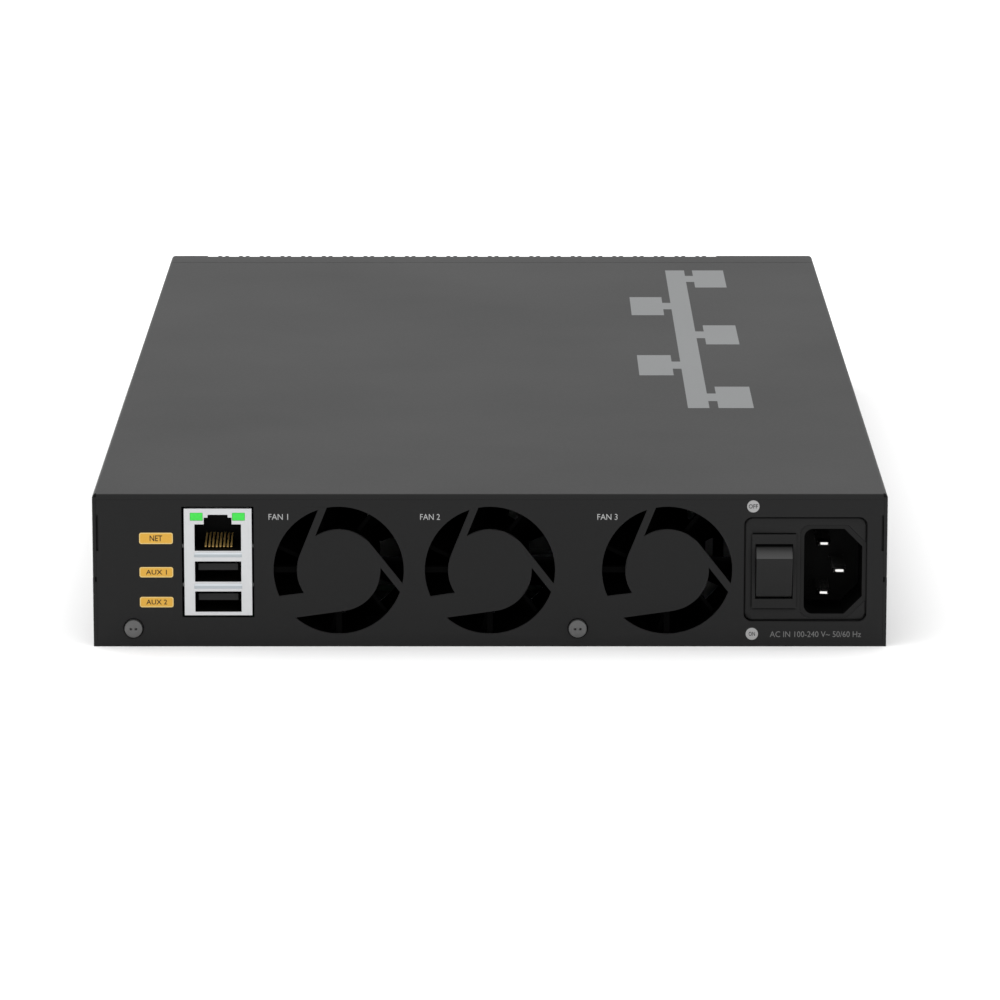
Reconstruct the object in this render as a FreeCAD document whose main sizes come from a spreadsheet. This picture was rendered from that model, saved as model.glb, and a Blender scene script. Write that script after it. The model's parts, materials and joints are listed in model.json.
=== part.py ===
"""Half-width 1U rackmount network switch.

Frame: origin at the bottom centre, +Z up, -Y the rear panel with the fans, the management ports and
the power inlet, +Y the port side with the bezel, +X to the right of someone looking along +Y.
"""
import FreeCAD, Part
import math
import os
import re

import Sketcher

Vector = FreeCAD.Vector
Rotation = FreeCAD.Rotation

DRIVING = {
    # casing
    "width": 220.0,
    "depth": 400.0,
    "height": 43.2,
    "floor_sheet": 1.2,
    "wall": 1.0,
    "lid": 1.5,
    "seam": 0.1,
    "flap_end": 19.75,
    "joggle": 0.9,
    "wall_clear": 0.3,
    "lid_screw_y": -160.0,
    "lid_screw_step": 168.0,
    "lid_screw_z": 31.0,
    "notch_wide": 0.7,
    "notch_high": 1.0,
    "notch_deep": 1.2,
    "slit_low": 27.1,
    "slit_high": 37.2,
    "slit_wide": 0.6,
    "lid_corner": 1.2,
    "lid_edge": 0.5,
    "bezel_depth": 14.0,
    "bezel_wall": 2.0,
    "face_sheet": 1.2,
    # honeycomb of the port side
    "comb_pitch": 7.13,
    "comb_flats": 6.6,
    "comb_start": -95.8,
    "comb_high": 40.4,
    "comb_low": 4.5,
    # fasteners
    "screw_core": 1.2,
    "screw_clear": 1.6,
    "screw_head": 2.6,
    "nut_thread": 1.65,
    "nut_shank": 2.7,
    "nut_flange": 3.6,
    "nut_tall": 2.4,
    "pan_proud": 1.1,
    "sink_deep": 0.35,
    "sink_gap": 0.25,
    "rear_screw_z": 5.16,
    "rear_screw_left": -98.9,
    "rear_screw_mid": 24.35,
    "side_hole_y": 140.0,
    "side_hole_step": 30.0,
    "side_hole_z": 5.6,
    "side_hole_rise": 9.0,
    "foot_hole_x": 95.0,
    "foot_hole_y": 160.0,
    # fans
    "fan_size": 40.0,
    "fan_deep": 28.0,
    "fan_z": 21.6,
    "fan_1_x": -41.9,
    "fan_2_x": 0.0,
    "fan_3_x": 49.07,
    "fan_bore": 18.8,
    "fan_hub": 11.0,
    "fan_tip": 18.3,
    "fan_hole_offset": 16.0,
    "grille_outer": 18.05,
    "grille_inner": 11.6,
    "arm_wide": 2.0,
    "cable_arm_wide": 6.6,
    "shaft_radius": 1.0,
    "shaft_gap": 0.05,
    # management connector
    "mgmt_left": -84.7,
    "mgmt_right": -65.85,
    "mgmt_low": 8.9,
    "mgmt_high": 39.15,
    "mgmt_proud": 0.3,
    "mgmt_deep": 26.0,
    "mgmt_shell": 0.5,
    "mgmt_gap": 0.6,
    "jack_wide": 12.85,
    "jack_high": 7.5,
    "jack_step_wide": 7.7,
    "jack_step_high": 1.9,
    "jack_latch_wide": 5.5,
    "jack_latch_high": 2.7,
    "jack_deep": 15.0,
    "lens_left": -82.95,
    "lens_right": -67.74,
    "lens_wide": 3.54,
    "lens_low": 35.76,
    "lens_high": 38.0,
    "mgmt_jack_x": -75.27,
    "mgmt_jack_z": 27.2,
    "usb_wide": 12.8,
    "usb_high": 5.75,
    "usb_deep": 14.0,
    "usb_upper_z": 18.45,
    "usb_lower_z": 9.92,
    "contact_pitch": 1.02,
    "contact_wide": 0.5,
    # power entry
    "window_left": 70.3,
    "window_right": 104.45,
    "window_low": 7.1,
    "window_high": 36.7,
    "window_corner": 2.3,
    "plate_gap": 0.3,
    "plate_recess": 0.5,
    "inlet_left": 87.0,
    "inlet_right": 103.1,
    "inlet_low": 9.2,
    "inlet_high": 33.3,
    "inlet_chamfer": 5.0,
    "inlet_corner": 2.5,
    "inlet_deep": 17.0,
    "inlet_wall": 1.0,
    "pin_wide": 4.0,
    "pin_thick": 2.0,
    "line_pin_x": 92.66,
    "earth_pin_x": 96.86,
    "inlet_z": 21.26,
    "pin_spread": 7.0,
    "rocker_x": 78.71,
    "rocker_wide": 10.1,
    "rocker_radius": 7.7,
    "rocker_face": 4.9,
    "rocker_tilt": 19.0,
    "rocker_inset": 3.0,
    "rocker_hole_low": 13.5,
    "rocker_hole_high": 29.05,
    "rocker_hole_wide": 10.43,
    "rocker_axle": 1.2,
    "switch_flange_low": 10.8,
    "switch_flange_high": 31.8,
    "switch_flange_wide": 12.3,
    "flange_gap": 0.3,
    # boards
    "board_top": 8.8,
    "board_thick": 1.6,
    "standoff_radius": 2.6,
    # port side connectors
    "rj_left": -97.0,
    "rj_pitch": 13.97,
    "rj_high": 25.4,
    "rj_deep": 28.0,
    "rj_proud": 0.8,
    "tin": 0.35,
    "sfp_left": -27.0,
    "sfp_pitch": 14.25,
    "sfp_high": 22.7,
    "sfp_port_high": 9.1,
    "sfp_deep": 48.0,
    "sfp_proud": 1.0,
    "button_x": 96.0,
    "reset_z": 18.0,
    "mode_z": 24.0,
    "console_x": 92.0,
    "lamp_z": 31.6,
    "lamp_radius": 1.1,
    "bar_wide": 1.6,
    # power supply
    "supply_left": 44.0,
    "supply_right": 107.4,
    "supply_rear": -150.0,
    "supply_front": 4.0,
    "supply_high": 40.6,
    "supply_sheet": 0.8,
}

FAN_NAMES = ("1", "2", "3")
RJ_COLUMNS = 4
SFP_COLUMNS = 6
BLADES = 7
STANDOFFS = (
    (-100.0, -140.0),
    (-100.0, -60.0),
    (-100.0, 60.0),
    (-101.0, 168.0),
    (32.0, -158.0),
    (32.0, -60.0),
    (99.0, 60.0),
    (101.0, 168.0),
)

doc = FreeCAD.newDocument("rack_switch")
dim = doc.addObject("Spreadsheet::Sheet", "dim")
nodes = []


# ---------------------------------------------------------------- sheet, formulas and primitives

def fill_sheet():
    for row, (alias, value) in enumerate(DRIVING.items(), start=1):
        dim.set("A%d" % row, alias.replace("_", " "))
        dim.set("B%d" % row, str(value))
        dim.setAlias("B%d" % row, alias)
    doc.recompute()


def formula(text):
    """A formula in the sheet's words, written for FreeCAD."""
    return re.sub(r"[a-z][a-z_0-9]*", lambda m: "dim." + m[0] if m[0] in DRIVING else m[0], str(text))


def number(text):
    value = dim.evalExpression(formula(text))
    return float(getattr(value, "Value", value))


def bind(piece, prop, text):
    piece.setExpression(prop, formula(text))


def box(name, x, y, z):
    """A block between two corners: each of x, y, z is a low and a high formula."""
    piece = doc.addObject("Part::Box", name)
    for letter, size, (low, high) in zip("xyz", ("Length", "Width", "Height"), (x, y, z)):
        bind(piece, size, "(%s) - (%s)" % (high, low))
        bind(piece, "Placement.Base." + letter, low)
    return piece


TURN = {
    "x": Rotation(Vector(0, 1, 0), 90),
    "y": Rotation(Vector(1, 0, 0), -90),
    "z": Rotation(),
}


def place_round(piece, axis, centre, start):
    """Stand a round primitive at start on an axis; centre gives the other two places in X, Y, Z order."""
    piece.Placement = FreeCAD.Placement(Vector(), TURN[axis])
    across = [letter for letter in "xyz" if letter != axis]
    for letter, text in zip(across, centre):
        bind(piece, "Placement.Base." + letter, text)
    bind(piece, "Placement.Base." + axis, start)


def rod(name, axis, centre, start, end, radius):
    piece = doc.addObject("Part::Cylinder", name)
    bind(piece, "Radius", radius)
    bind(piece, "Height", "(%s) - (%s)" % (end, start))
    place_round(piece, axis, centre, start)
    return piece


def cone(name, axis, centre, start, end, radius_start, radius_end):
    piece = doc.addObject("Part::Cone", name)
    bind(piece, "Radius1", radius_start)
    bind(piece, "Radius2", radius_end)
    bind(piece, "Height", "(%s) - (%s)" % (end, start))
    place_round(piece, axis, centre, start)
    return piece


def ring(name, axis, centre, start, end, radius, bore):
    outer = rod(name + "_outer", axis, centre, start, end, radius)
    inner = rod(name + "_inner", axis, centre, start, end, bore)
    return cut(name, outer, inner)


def group(name, pieces):
    piece = doc.addObject("Part::Compound", name)
    piece.Links = list(pieces)
    return piece


def fuse(name, pieces):
    piece = doc.addObject("Part::MultiFuse", name)
    piece.Shapes = list(pieces)
    return piece


def cut(name, base, *tools):
    piece = doc.addObject("Part::Cut", name)
    piece.Base = base
    piece.Tool = tools[0] if len(tools) == 1 else group(name + "_tools", tools)
    return piece


def coded(name, shape):
    """A shape made by Part's own functions, for what no feature above can make."""
    piece = doc.addObject("Part::Feature", name)
    piece.Shape = shape
    piece.Placement = FreeCAD.Placement()
    return piece


def node(name, piece):
    piece.Label = name
    nodes.append(piece)
    return piece


# ---------------------------------------------------------------- bodies and sketches

PLANE = {"x": "YZ_Plane", "y": "XZ_Plane", "z": "XY_Plane"}


def new_body(name):
    return doc.addObject("PartDesign::Body", name)


def rectangle(left, low, right, high):
    return [(left, low), (right, low), (right, high), (left, high)]


def rounded(left, low, right, high, radius):
    """A rectangle with round corners: a third value starts an arc of that radius to the next point."""
    r = "(%s)" % radius
    return [
        ("%s + %s" % (left, r), low),
        ("%s - %s" % (right, r), low, radius),
        (right, "%s + %s" % (low, r)),
        (right, "%s - %s" % (high, r), radius),
        ("%s - %s" % (right, r), high),
        ("%s + %s" % (left, r), high, radius),
        (left, "%s - %s" % (high, r)),
        (left, "%s + %s" % (low, r), radius),
    ]


def jack_outline(centre, base, way=1):
    """An eight-way jack's mouth: the latch side is above the base edge, or below it with way = -1."""
    def across(side, width):
        return "%s %s %s / 2" % (centre, side, width)

    def up(height):
        return "%s + (%d) * (%s)" % (base, way, height)

    points = [
        (across("-", "jack_wide"), base),
        (across("+", "jack_wide"), base),
        (across("+", "jack_wide"), up("jack_high")),
        (across("+", "jack_step_wide"), up("jack_high")),
        (across("+", "jack_step_wide"), up("jack_high + jack_step_high")),
        (across("+", "jack_latch_wide"), up("jack_high + jack_step_high")),
        (across("+", "jack_latch_wide"), up("jack_high + jack_latch_high")),
        (across("-", "jack_latch_wide"), up("jack_high + jack_latch_high")),
        (across("-", "jack_latch_wide"), up("jack_high + jack_step_high")),
        (across("-", "jack_step_wide"), up("jack_high + jack_step_high")),
        (across("-", "jack_step_wide"), up("jack_high")),
        (across("-", "jack_wide"), up("jack_high")),
    ]
    return points if way > 0 else points[::-1]


def hexagon(centre, middle, flats):
    """A hexagon standing on a point."""
    half = "%s / 2" % flats
    side = "%s / 1.7320508" % flats
    return [
        (centre, "%s - %s" % (middle, side)),
        ("%s + %s" % (centre, half), "%s - %s / 2" % (middle, side)),
        ("%s + %s" % (centre, half), "%s + %s / 2" % (middle, side)),
        (centre, "%s + %s" % (middle, side)),
        ("%s - %s" % (centre, half), "%s + %s / 2" % (middle, side)),
        ("%s - %s" % (centre, half), "%s - %s / 2" % (middle, side)),
    ]


def draw_outline(sketch, points):
    """Draw a closed outline and hold every point of it to its formulas."""
    first = sketch.GeometryCount
    count = len(points)
    flat = [Vector(number(p[0]), number(p[1]), 0) for p in points]
    for i, point in enumerate(points):
        here = flat[i]
        there = flat[(i + 1) % count]
        if len(point) == 2:
            sketch.addGeometry(Part.LineSegment(here, there), False)
            continue
        radius = number(point[2])
        chord = there - here
        rise = math.sqrt(radius ** 2 - (chord.Length / 2) ** 2)
        centre = (here + there) * 0.5 + Vector(-chord.y, chord.x, 0).normalize() * rise
        angles = [math.atan2(p.y - centre.y, p.x - centre.x) for p in (here, there)]
        circle = Part.Circle(centre, Vector(0, 0, 1), radius)
        sketch.addGeometry(Part.ArcOfCircle(circle, angles[0], angles[1]), False)
    for i in range(count):
        before = first + (i - 1) % count
        sketch.addConstraint(Sketcher.Constraint("Coincident", before, 2, first + i, 1))
    for i, point in enumerate(points):
        for kind, text in zip(("DistanceX", "DistanceY"), point):
            hold(sketch, Sketcher.Constraint(kind, first + i, 1, number(text)), text)
        if len(point) == 3:
            hold(sketch, Sketcher.Constraint("Radius", first + i, number(point[2])), point[2])


def hold(sketch, constraint, text):
    index = sketch.addConstraint(constraint)
    bind(sketch, "Constraints[%d]" % index, text)


def draw_circle(sketch, centre, radius):
    middle = Vector(number(centre[0]), number(centre[1]), 0)
    index = sketch.addGeometry(Part.Circle(middle, Vector(0, 0, 1), number(radius)), False)
    hold(sketch, Sketcher.Constraint("DistanceX", index, 3, middle.x), centre[0])
    hold(sketch, Sketcher.Constraint("DistanceY", index, 3, middle.y), centre[1])
    hold(sketch, Sketcher.Constraint("Radius", index, number(radius)), radius)


def new_sketch(body, axis, at, outlines=(), circles=()):
    """A sketch square to an axis at a place along it."""
    sketch = body.newObject("Sketcher::SketchObject", body.Name + "_sketch")
    plane = [f for f in body.Origin.OriginFeatures if f.Role == PLANE[axis]][0]
    sketch.AttachmentSupport = [(plane, "")]
    sketch.MapMode = "FlatFace"
    # the XZ plane's normal points along -Y
    bind(sketch, "AttachmentOffset.Base.z", "-(%s)" % at if axis == "y" else at)
    for points in outlines:
        draw_outline(sketch, points)
    for centre, radius in circles:
        draw_circle(sketch, centre, radius)
    return sketch


def pad(body, axis, start, end, outlines=(), circles=()):
    """Material between two places along an axis."""
    sketch = new_sketch(body, axis, start, outlines, circles)
    piece = body.newObject("PartDesign::Pad", body.Name + "_pad")
    piece.Profile = sketch
    piece.Reversed = axis == "y"
    bind(piece, "Length", "(%s) - (%s)" % (end, start))
    doc.recompute()
    return piece


def pocket(body, axis, start, end, outlines=(), circles=()):
    """A hole between two places along an axis; it has to take some material away."""
    before = body.Tip.Shape.Volume
    sketch = new_sketch(body, axis, start, outlines, circles)
    piece = body.newObject("PartDesign::Pocket", body.Name + "_pocket")
    piece.Profile = sketch
    piece.Reversed = axis != "y"
    bind(piece, "Length", "(%s) - (%s)" % (end, start))
    doc.recompute()
    if piece.Shape.Volume >= before - 1e-6:
        raise RuntimeError("%s cuts nothing" % piece.Name)
    return piece


def pocket_row(body, axis, start, end, outline, pitch, count):
    """The same hole repeated along X."""
    first = pocket(body, axis, start, end, [outline])
    row = body.newObject("PartDesign::LinearPattern", body.Name + "_row")
    row.Originals = [first]
    row.Direction = (first.Profile[0], ["H_Axis"])
    bind(row, "Length", "%s * %d" % (pitch, count - 1))
    row.Occurrences = count
    body.Tip = row
    doc.recompute()
    return row


def dress_edges(body, kind, prop, size, chosen):
    """Dress the edges whose middle passes a test, with a fillet's Radius or a chamfer's Size."""
    base = body.Tip
    names = ["Edge%d" % i for i, edge in enumerate(base.Shape.Edges, start=1) if chosen(edge.CenterOfMass)]
    piece = body.newObject("PartDesign::" + kind, body.Name + "_" + kind.lower())
    piece.Base = (base, names)
    bind(piece, prop, size)
    doc.recompute()
    return piece


REAR = "(-depth / 2)"
FRONT = "(depth / 2)"
SIDE = "(width / 2)"
BEZEL_BACK = "(depth / 2 - bezel_depth)"
LID_UNDER = "(height - lid)"
BOARD_UNDER = "(board_top - board_thick)"
FAN_REAR = "(-depth / 2 + wall + seam)"
FAN_INNER = "(-depth / 2 + wall + seam + fan_deep)"


# ---------------------------------------------------------------- casing

def chassis_tray():
    """Floor with side walls, joggled inwards above the lid's flaps, and two tabs for the rear panel."""
    body = new_body("tray")
    inner = "(width / 2 - wall)"
    upper = "(width / 2 - wall - seam)"
    half = [
        (SIDE, "0"),
        (SIDE, "flap_end - 1.5 * seam"),
        (upper, "flap_end - 1.5 * seam"),
        (upper, "height - lid - wall_clear"),
        (upper + " - wall", "height - lid - wall_clear"),
        (upper + " - wall", "flap_end - joggle * 0.78"),
        (inner, "flap_end - joggle * 1.61"),
        (inner, "floor_sheet"),
    ]
    mirrored = [("-(%s)" % x, z) for x, z in reversed(half)]
    pad(body, "y", REAR, BEZEL_BACK + " - seam", [half + mirrored])
    rebate = rectangle("-(%s)" % upper + " - 0.5", "flap_end - joggle * 1.62", upper + " + 0.5", "height")
    pocket(body, "y", REAR, FAN_REAR, [rebate])
    tabs = [
        rectangle("%s - 3.8" % x, FAN_REAR, "%s + 3.8" % x, FAN_REAR + " + 1.2")
        for x in ("rear_screw_left", "rear_screw_mid")
    ]
    pad(body, "z", "floor_sheet", "floor_sheet + 7", tabs)
    taps = [((x, "rear_screw_z"), "screw_core + 0.05") for x in ("rear_screw_left", "rear_screw_mid")]
    pocket(body, "y", FAN_REAR + " - 0.1", FAN_REAR + " + 1.3", circles=taps)
    side_holes = [(place, "nut_shank") for place in side_places()]
    pocket(body, "x", "-" + SIDE + " - 1", "-" + inner + " + 0.5", circles=side_holes)
    pocket(body, "x", inner + " - 0.5", SIDE + " + 1", circles=side_holes)
    foot_holes = [(place, "nut_shank") for place in foot_places()]
    pocket(body, "z", "-1", "floor_sheet + 0.5", circles=foot_holes)
    screw_holes = [((y, z), "screw_core + 0.05") for y, z in lid_screw_places()]
    for side in ("-(%s)" % upper, upper + " - wall"):
        pocket(body, "x", side + " - 0.2", side + " + wall + 0.2", circles=screw_holes)
    return node("chassis_tray", body)


def side_places():
    """Threaded holes for a rack ear or a joining bracket, as places along Y and Z."""
    rows = ("side_hole_z", "side_hole_z + side_hole_rise")
    return [(y, z) for y in ("side_hole_y", "side_hole_y + side_hole_step") for z in rows]


def foot_places():
    return [(x, y) for x in ("-foot_hole_x", "foot_hole_x") for y in ("-foot_hole_y", "foot_hole_y")]


def lid_screw_places():
    return [("lid_screw_y + %d * lid_screw_step" % step, "lid_screw_z") for step in range(3)]


def rear_panel():
    """Flat sheet with three fan grilles, the connector cut-out, the power window and two screw holes."""
    body = new_body("panel")
    edge = "(width / 2 - wall - 0.05)"
    top = LID_UNDER + " - seam"
    pad(body, "y", REAR, REAR + " + wall", [rectangle("-" + edge, "floor_sheet + seam", edge, top)])
    past = (REAR + " - 1", REAR + " + wall + 1")
    connector = rectangle(
        "mgmt_left - mgmt_gap",
        "mgmt_low - mgmt_gap",
        "mgmt_right + mgmt_gap - seam",
        "mgmt_high + mgmt_gap - seam",
    )
    window = rounded("window_left", "window_low", "window_right", "window_high", "window_corner")
    pocket(body, "y", *past, [connector, window])
    slits = [
        rectangle("-%s - 0.2" % edge, "slit_low", "-%s + slit_wide" % edge, "slit_high"),
        rectangle(edge + " - slit_wide", "slit_low", edge + " + 0.2", "slit_high"),
    ]
    pocket(body, "y", *past, slits)
    for radius, end in (("screw_clear", past[1]), ("screw_head + sink_gap", REAR + " + sink_deep")):
        holes = [((x, "rear_screw_z"), radius) for x in ("rear_screw_left", "rear_screw_mid")]
        pocket(body, "y", past[0], end, circles=holes)
    openings = [grille_openings("fan_%s_x" % name) for name in FAN_NAMES]
    return node("rear_panel", cut("panel_with_grilles", body, *openings))


def grille_openings(fan_x):
    """The ring of air round a fan's hub, less three straight arms that leave the hub as tangents."""
    start = REAR + " - 1"
    end = REAR + " + wall + 1"
    air = ring("air", "y", (fan_x, "fan_z"), start, end, "grille_outer", "grille_inner")
    arms = []
    for normal, wide in (("158", "arm_wide"), ("38", "arm_wide"), ("278", "cable_arm_wide")):
        arm = doc.addObject("Part::Box", "arm")
        bind(arm, "Length", "grille_outer + 2")
        bind(arm, "Width", "(%s) - (%s)" % (end, start))
        bind(arm, "Height", wide)
        turn = 90 - float(normal)
        arm.Placement = FreeCAD.Placement(Vector(), Rotation(Vector(0, 1, 0), turn))
        bind(arm, "Placement.Base.x", "%s + (grille_inner - %s) * sin(%s deg)" % (fan_x, wide, turn))
        bind(arm, "Placement.Base.y", start)
        bind(arm, "Placement.Base.z", "fan_z + (grille_inner - %s) * cos(%s deg)" % (wide, turn))
        arms.append(arm)
    return cut("opening", air, *arms)


def top_cover():
    """Lid with a flap down each side, bent from one sheet."""
    body = new_body("lid_sheet")
    inner = "(width / 2 - wall)"
    profile = [
        ("-" + SIDE, "flap_end"),
        ("-" + inner, "flap_end"),
        ("-" + inner, LID_UNDER),
        (inner, LID_UNDER),
        (inner, "flap_end"),
        (SIDE, "flap_end"),
        (SIDE, "height - lid_corner", "lid_corner"),
        (SIDE + " - lid_corner", "height"),
        ("-" + SIDE + " + lid_corner", "height", "lid_corner"),
        ("-" + SIDE, "height - lid_corner"),
    ]
    pad(body, "y", REAR, BEZEL_BACK + " - seam", [profile])
    sinks = [((y, z), "screw_head + 0.2") for y, z in lid_screw_places()]
    pocket(body, "x", "-" + SIDE + " - 1", "-" + inner + " + 0.5", circles=sinks)
    pocket(body, "x", inner + " - 0.5", SIDE + " + 1", circles=sinks)
    rear = number(REAR)
    high = number("height")

    def on_rear_top(middle):
        return abs(middle.y - rear) < 0.01 and abs(middle.z - high) < 0.01

    dress_edges(body, "Fillet", "Radius", "lid_edge", on_rear_top)
    notch_inner = "(%s - notch_wide - 0.5)" % SIDE
    reliefs = [
        rectangle("-%s - notch_wide" % notch_inner, "height - notch_high", "-" + notch_inner, "height + 1"),
        rectangle(notch_inner, "height - notch_high", notch_inner + " + notch_wide", "height + 1"),
    ]
    pocket(body, "y", REAR + " - 1", REAR + " + notch_deep", reliefs)
    return node("top_cover", body)


def front_bezel():
    """Deep frame round the port side, which the face sheet closes."""
    body = new_body("bezel_frame")
    end = FRONT + " - face_sheet - 0.05"
    outer = rounded("-" + SIDE, "0", SIDE, "height", "lid_corner")
    pad(body, "y", BEZEL_BACK + " + 0.15", end, [outer])
    inner = rectangle("-%s + bezel_wall" % SIDE, "bezel_wall", SIDE + " - bezel_wall", "height - bezel_wall")
    pocket(body, "y", BEZEL_BACK + " - 1", FRONT, [inner])
    return node("front_bezel", body)


def front_plate():
    """Face sheet with honeycomb vents above and below the ports."""
    body = new_body("face")
    start = FRONT + " - face_sheet"
    outer = rounded("-" + SIDE, "0", SIDE, "height", "lid_corner")
    pad(body, "y", start, FRONT, [outer])
    past = (start + " - 1", FRONT + " + 1")
    jacks = rectangle("rj_left - 0.3", "mgmt_low - 0.3", rj_right() + " + 0.3", "mgmt_low + rj_high + 0.3")
    cages = rectangle("sfp_left - 0.3", "mgmt_low - 0.3", sfp_right() + " + 0.3", "mgmt_low + sfp_high + 0.3")
    console = rounded("console_x - 4.9", "9.15", "console_x + 4.9", "12.75", "1.75")
    mode = rounded("button_x - 3", "mode_z - 1.5", "button_x + 3", "mode_z + 1.5", "1.4")
    rounds = [(("button_x", "reset_z"), "1.35")]
    rounds += [((x, "lamp_z"), "lamp_radius + 0.05") for x in lamp_places()]
    pocket(body, "y", *past, [jacks, cages, console, mode], rounds)
    cells = 25
    pocket_row(body, "y", *past, hexagon("comb_start", "comb_high", "comb_flats"), "comb_pitch", cells)
    pocket_row(body, "y", *past, hexagon("comb_start", "comb_low", "comb_flats"), "comb_pitch", cells)
    between = hexagon("comb_start + comb_pitch / 2", "comb_high + comb_pitch * 0.8660254", "comb_flats")
    pocket_row(body, "y", *past, between, "comb_pitch", cells - 1)
    return node("front_plate", body)


def lamp_places():
    return ["button_x + %s" % step for step in (-9, -3, 3, 9)]


def rj_right():
    return "(rj_left + rj_pitch * %d + 2.1)" % RJ_COLUMNS


def sfp_right():
    return "(sfp_left + sfp_pitch * %d + tin)" % SFP_COLUMNS


def lid_screws():
    """Flat-head screws that hold the lid's flaps to the tray's walls."""
    screws = []
    inner = "(width / 2 - wall)"
    for y, z in lid_screw_places():
        for way in (-1, 1):
            head = cone("head", "x", (y, z), "0", "wall", "screw_core", "screw_head")
            shank = rod("shank", "x", (y, z), "-3.5", "0.2", "screw_core")
            screw = fuse("screw", [head, shank])
            turn = Rotation() if way > 0 else Rotation(Vector(0, 0, 1), 180)
            screw.Placement = FreeCAD.Placement(Vector(), turn)
            bind(screw, "Placement.Base.x", "%d * %s" % (way, inner))
            if way < 0:
                bind(screw, "Placement.Base.y", "2 * (%s)" % y)
            screws.append(screw)
    return node("cover_screws", group("lid_screw_set", screws))


def rear_screws():
    screws = []
    for x in ("rear_screw_left", "rear_screw_mid"):
        head = rod("pan", "y", (x, "rear_screw_z"), REAR + " - pan_proud", REAR + " + sink_deep", "screw_head")
        shank = rod("shank", "y", (x, "rear_screw_z"), REAR, REAR + " + 5", "screw_core")
        screws.append(fuse("screw", [head, shank]))
    return node("rear_panel_screws", group("rear_screw_set", screws))


def nut_inserts():
    """Clinched nuts, flush with the outside and standing proud inside."""
    nuts = []
    inner = "(width / 2 - wall)"
    for place in side_places():
        for way in (-1, 1):
            ends = sorted((("%d * %s" % (way, SIDE)), ("%d * (%s - nut_tall)" % (way, inner))), key=number)
            flange = sorted((("%d * %s" % (way, inner)), ("%d * (%s - nut_tall)" % (way, inner))), key=number)
            nuts.append(nut("x", place, ends, flange))
    for place in foot_places():
        top = "floor_sheet + nut_tall"
        nuts.append(nut("z", place, ("0", top), ("floor_sheet", top)))
    return node("nut_inserts", group("nut_set", nuts))


def nut(axis, place, ends, flange):
    shank = rod("nut_shank_rod", axis, place, *ends, "nut_shank")
    collar = rod("nut_collar", axis, place, *flange, "nut_flange")
    thread = rod("nut_thread_rod", axis, place, ends[0] + " - 1", ends[1] + " + 1", "nut_thread")
    return cut("nut", fuse("nut_blank", [shank, collar]), thread)


def board_standoffs():
    posts = []
    for x, y in STANDOFFS:
        ends = ("floor_sheet", BOARD_UNDER)
        posts.append(ring("post", "z", (x, y), *ends, "standoff_radius", "screw_core + 0.05"))
    return node("board_standoffs", group("post_set", posts))


# ---------------------------------------------------------------- fans

def fan_frame(name):
    """Square fan housing with a round bore, corner holes, and a motor base on three struts."""
    x = "fan_%s_x" % name
    half = "fan_size / 2"
    sides = (x + " - " + half, x + " + " + half)
    body = new_body("fan_housing_" + name)
    corner = rounded(sides[0], "fan_z - " + half, sides[1], "fan_z + " + half, "2.5")
    pad(body, "y", FAN_REAR, FAN_INNER, [corner])
    offsets = [(a, b) for a in ("-", "+") for b in ("-", "+")]
    holes = [
        (("%s %s fan_hole_offset" % (x, a), "fan_z %s fan_hole_offset" % b), "screw_core + 0.05")
        for a, b in offsets
    ]
    pocket(body, "y", FAN_REAR + " - 1", FAN_INNER + " + 1", circles=[((x, "fan_z"), "fan_bore")] + holes)
    pad(body, "y", FAN_REAR, FAN_REAR + " + 2", [strut(x)], [((x, "fan_z"), "fan_hub - 0.4")])
    pad(body, "y", FAN_REAR, FAN_REAR + " + 2", [rectangle(x + " - 0.8", "2.2", x + " + 0.8", "12")])
    return node("fan_frame_" + name, body)


def strut(x):
    return rectangle(x + " - fan_bore - 0.5", "fan_z - 0.8", x + " - fan_hub + 1.2", "fan_z + 0.8")


def fan_impeller(name):
    """Moulded hub with seven pitched blades."""
    x = "fan_%s_x" % name
    start = FAN_REAR + " + 3"
    end = FAN_INNER + " - 1.5"
    centre = (x, "fan_z")
    cup = ring("cup", "y", centre, start, end, "fan_hub", "fan_hub - 1")
    lid = ring("cup_end", "y", centre, end + " - 1.2", end, "fan_hub - 0.9", "shaft_radius")
    blades = coded("blades_" + name, blade_set(x, start + " + 1", end + " - 0.5"))
    return node("fan_impeller_" + name, fuse("impeller_" + name, [cup, lid, blades]))


def blade_set(x, start, end):
    """Blades as ruled lofts, leaning one way, trimmed round at the tips."""
    low = number(start)
    high = number(end)
    sections = []
    for radius, lean in ((number("fan_hub") - 0.5, 0.5), (number("fan_tip") + 3, 0.36)):
        half = lean * radius
        corners = [
            Vector(-half, low, radius),
            Vector(-half + 1.1, low, radius),
            Vector(half, high, radius),
            Vector(half - 1.1, high, radius),
        ]
        sections.append(Part.makePolygon(corners + corners[:1]))
    blade = Part.makeLoft(sections, True, True)
    trim = Part.makeCylinder(number("fan_tip"), high - low + 2, Vector(0, low - 1, 0), Vector(0, 1, 0))
    blade = blade.common(trim)
    middle = Vector(number(x), 0, number("fan_z"))
    blades = []
    for index in range(BLADES):
        turned = blade.copy()
        turned.rotate(Vector(), Vector(0, 1, 0), index * 360.0 / BLADES)
        turned.translate(middle)
        blades.append(turned)
    return Part.makeCompound(blades)


def fan_yoke(name):
    """Steel cup with the magnet inside and the shaft through its closed end."""
    x = "fan_%s_x" % name
    centre = (x, "fan_z")
    start = FAN_REAR + " + 3.4"
    end = FAN_INNER + " - 2.7"
    wall = ring("yoke_wall", "y", centre, start, end, "fan_hub - 1", "fan_hub - 2.6")
    plate = rod("yoke_plate", "y", centre, end + " - 0.8", end, "fan_hub - 1")
    shaft = rod("yoke_shaft", "y", centre, FAN_REAR + " + 2.6", end + " + 1.2", "shaft_radius")
    return node("fan_rotor_yoke_" + name, fuse("yoke_" + name, [wall, plate, shaft]))


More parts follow.
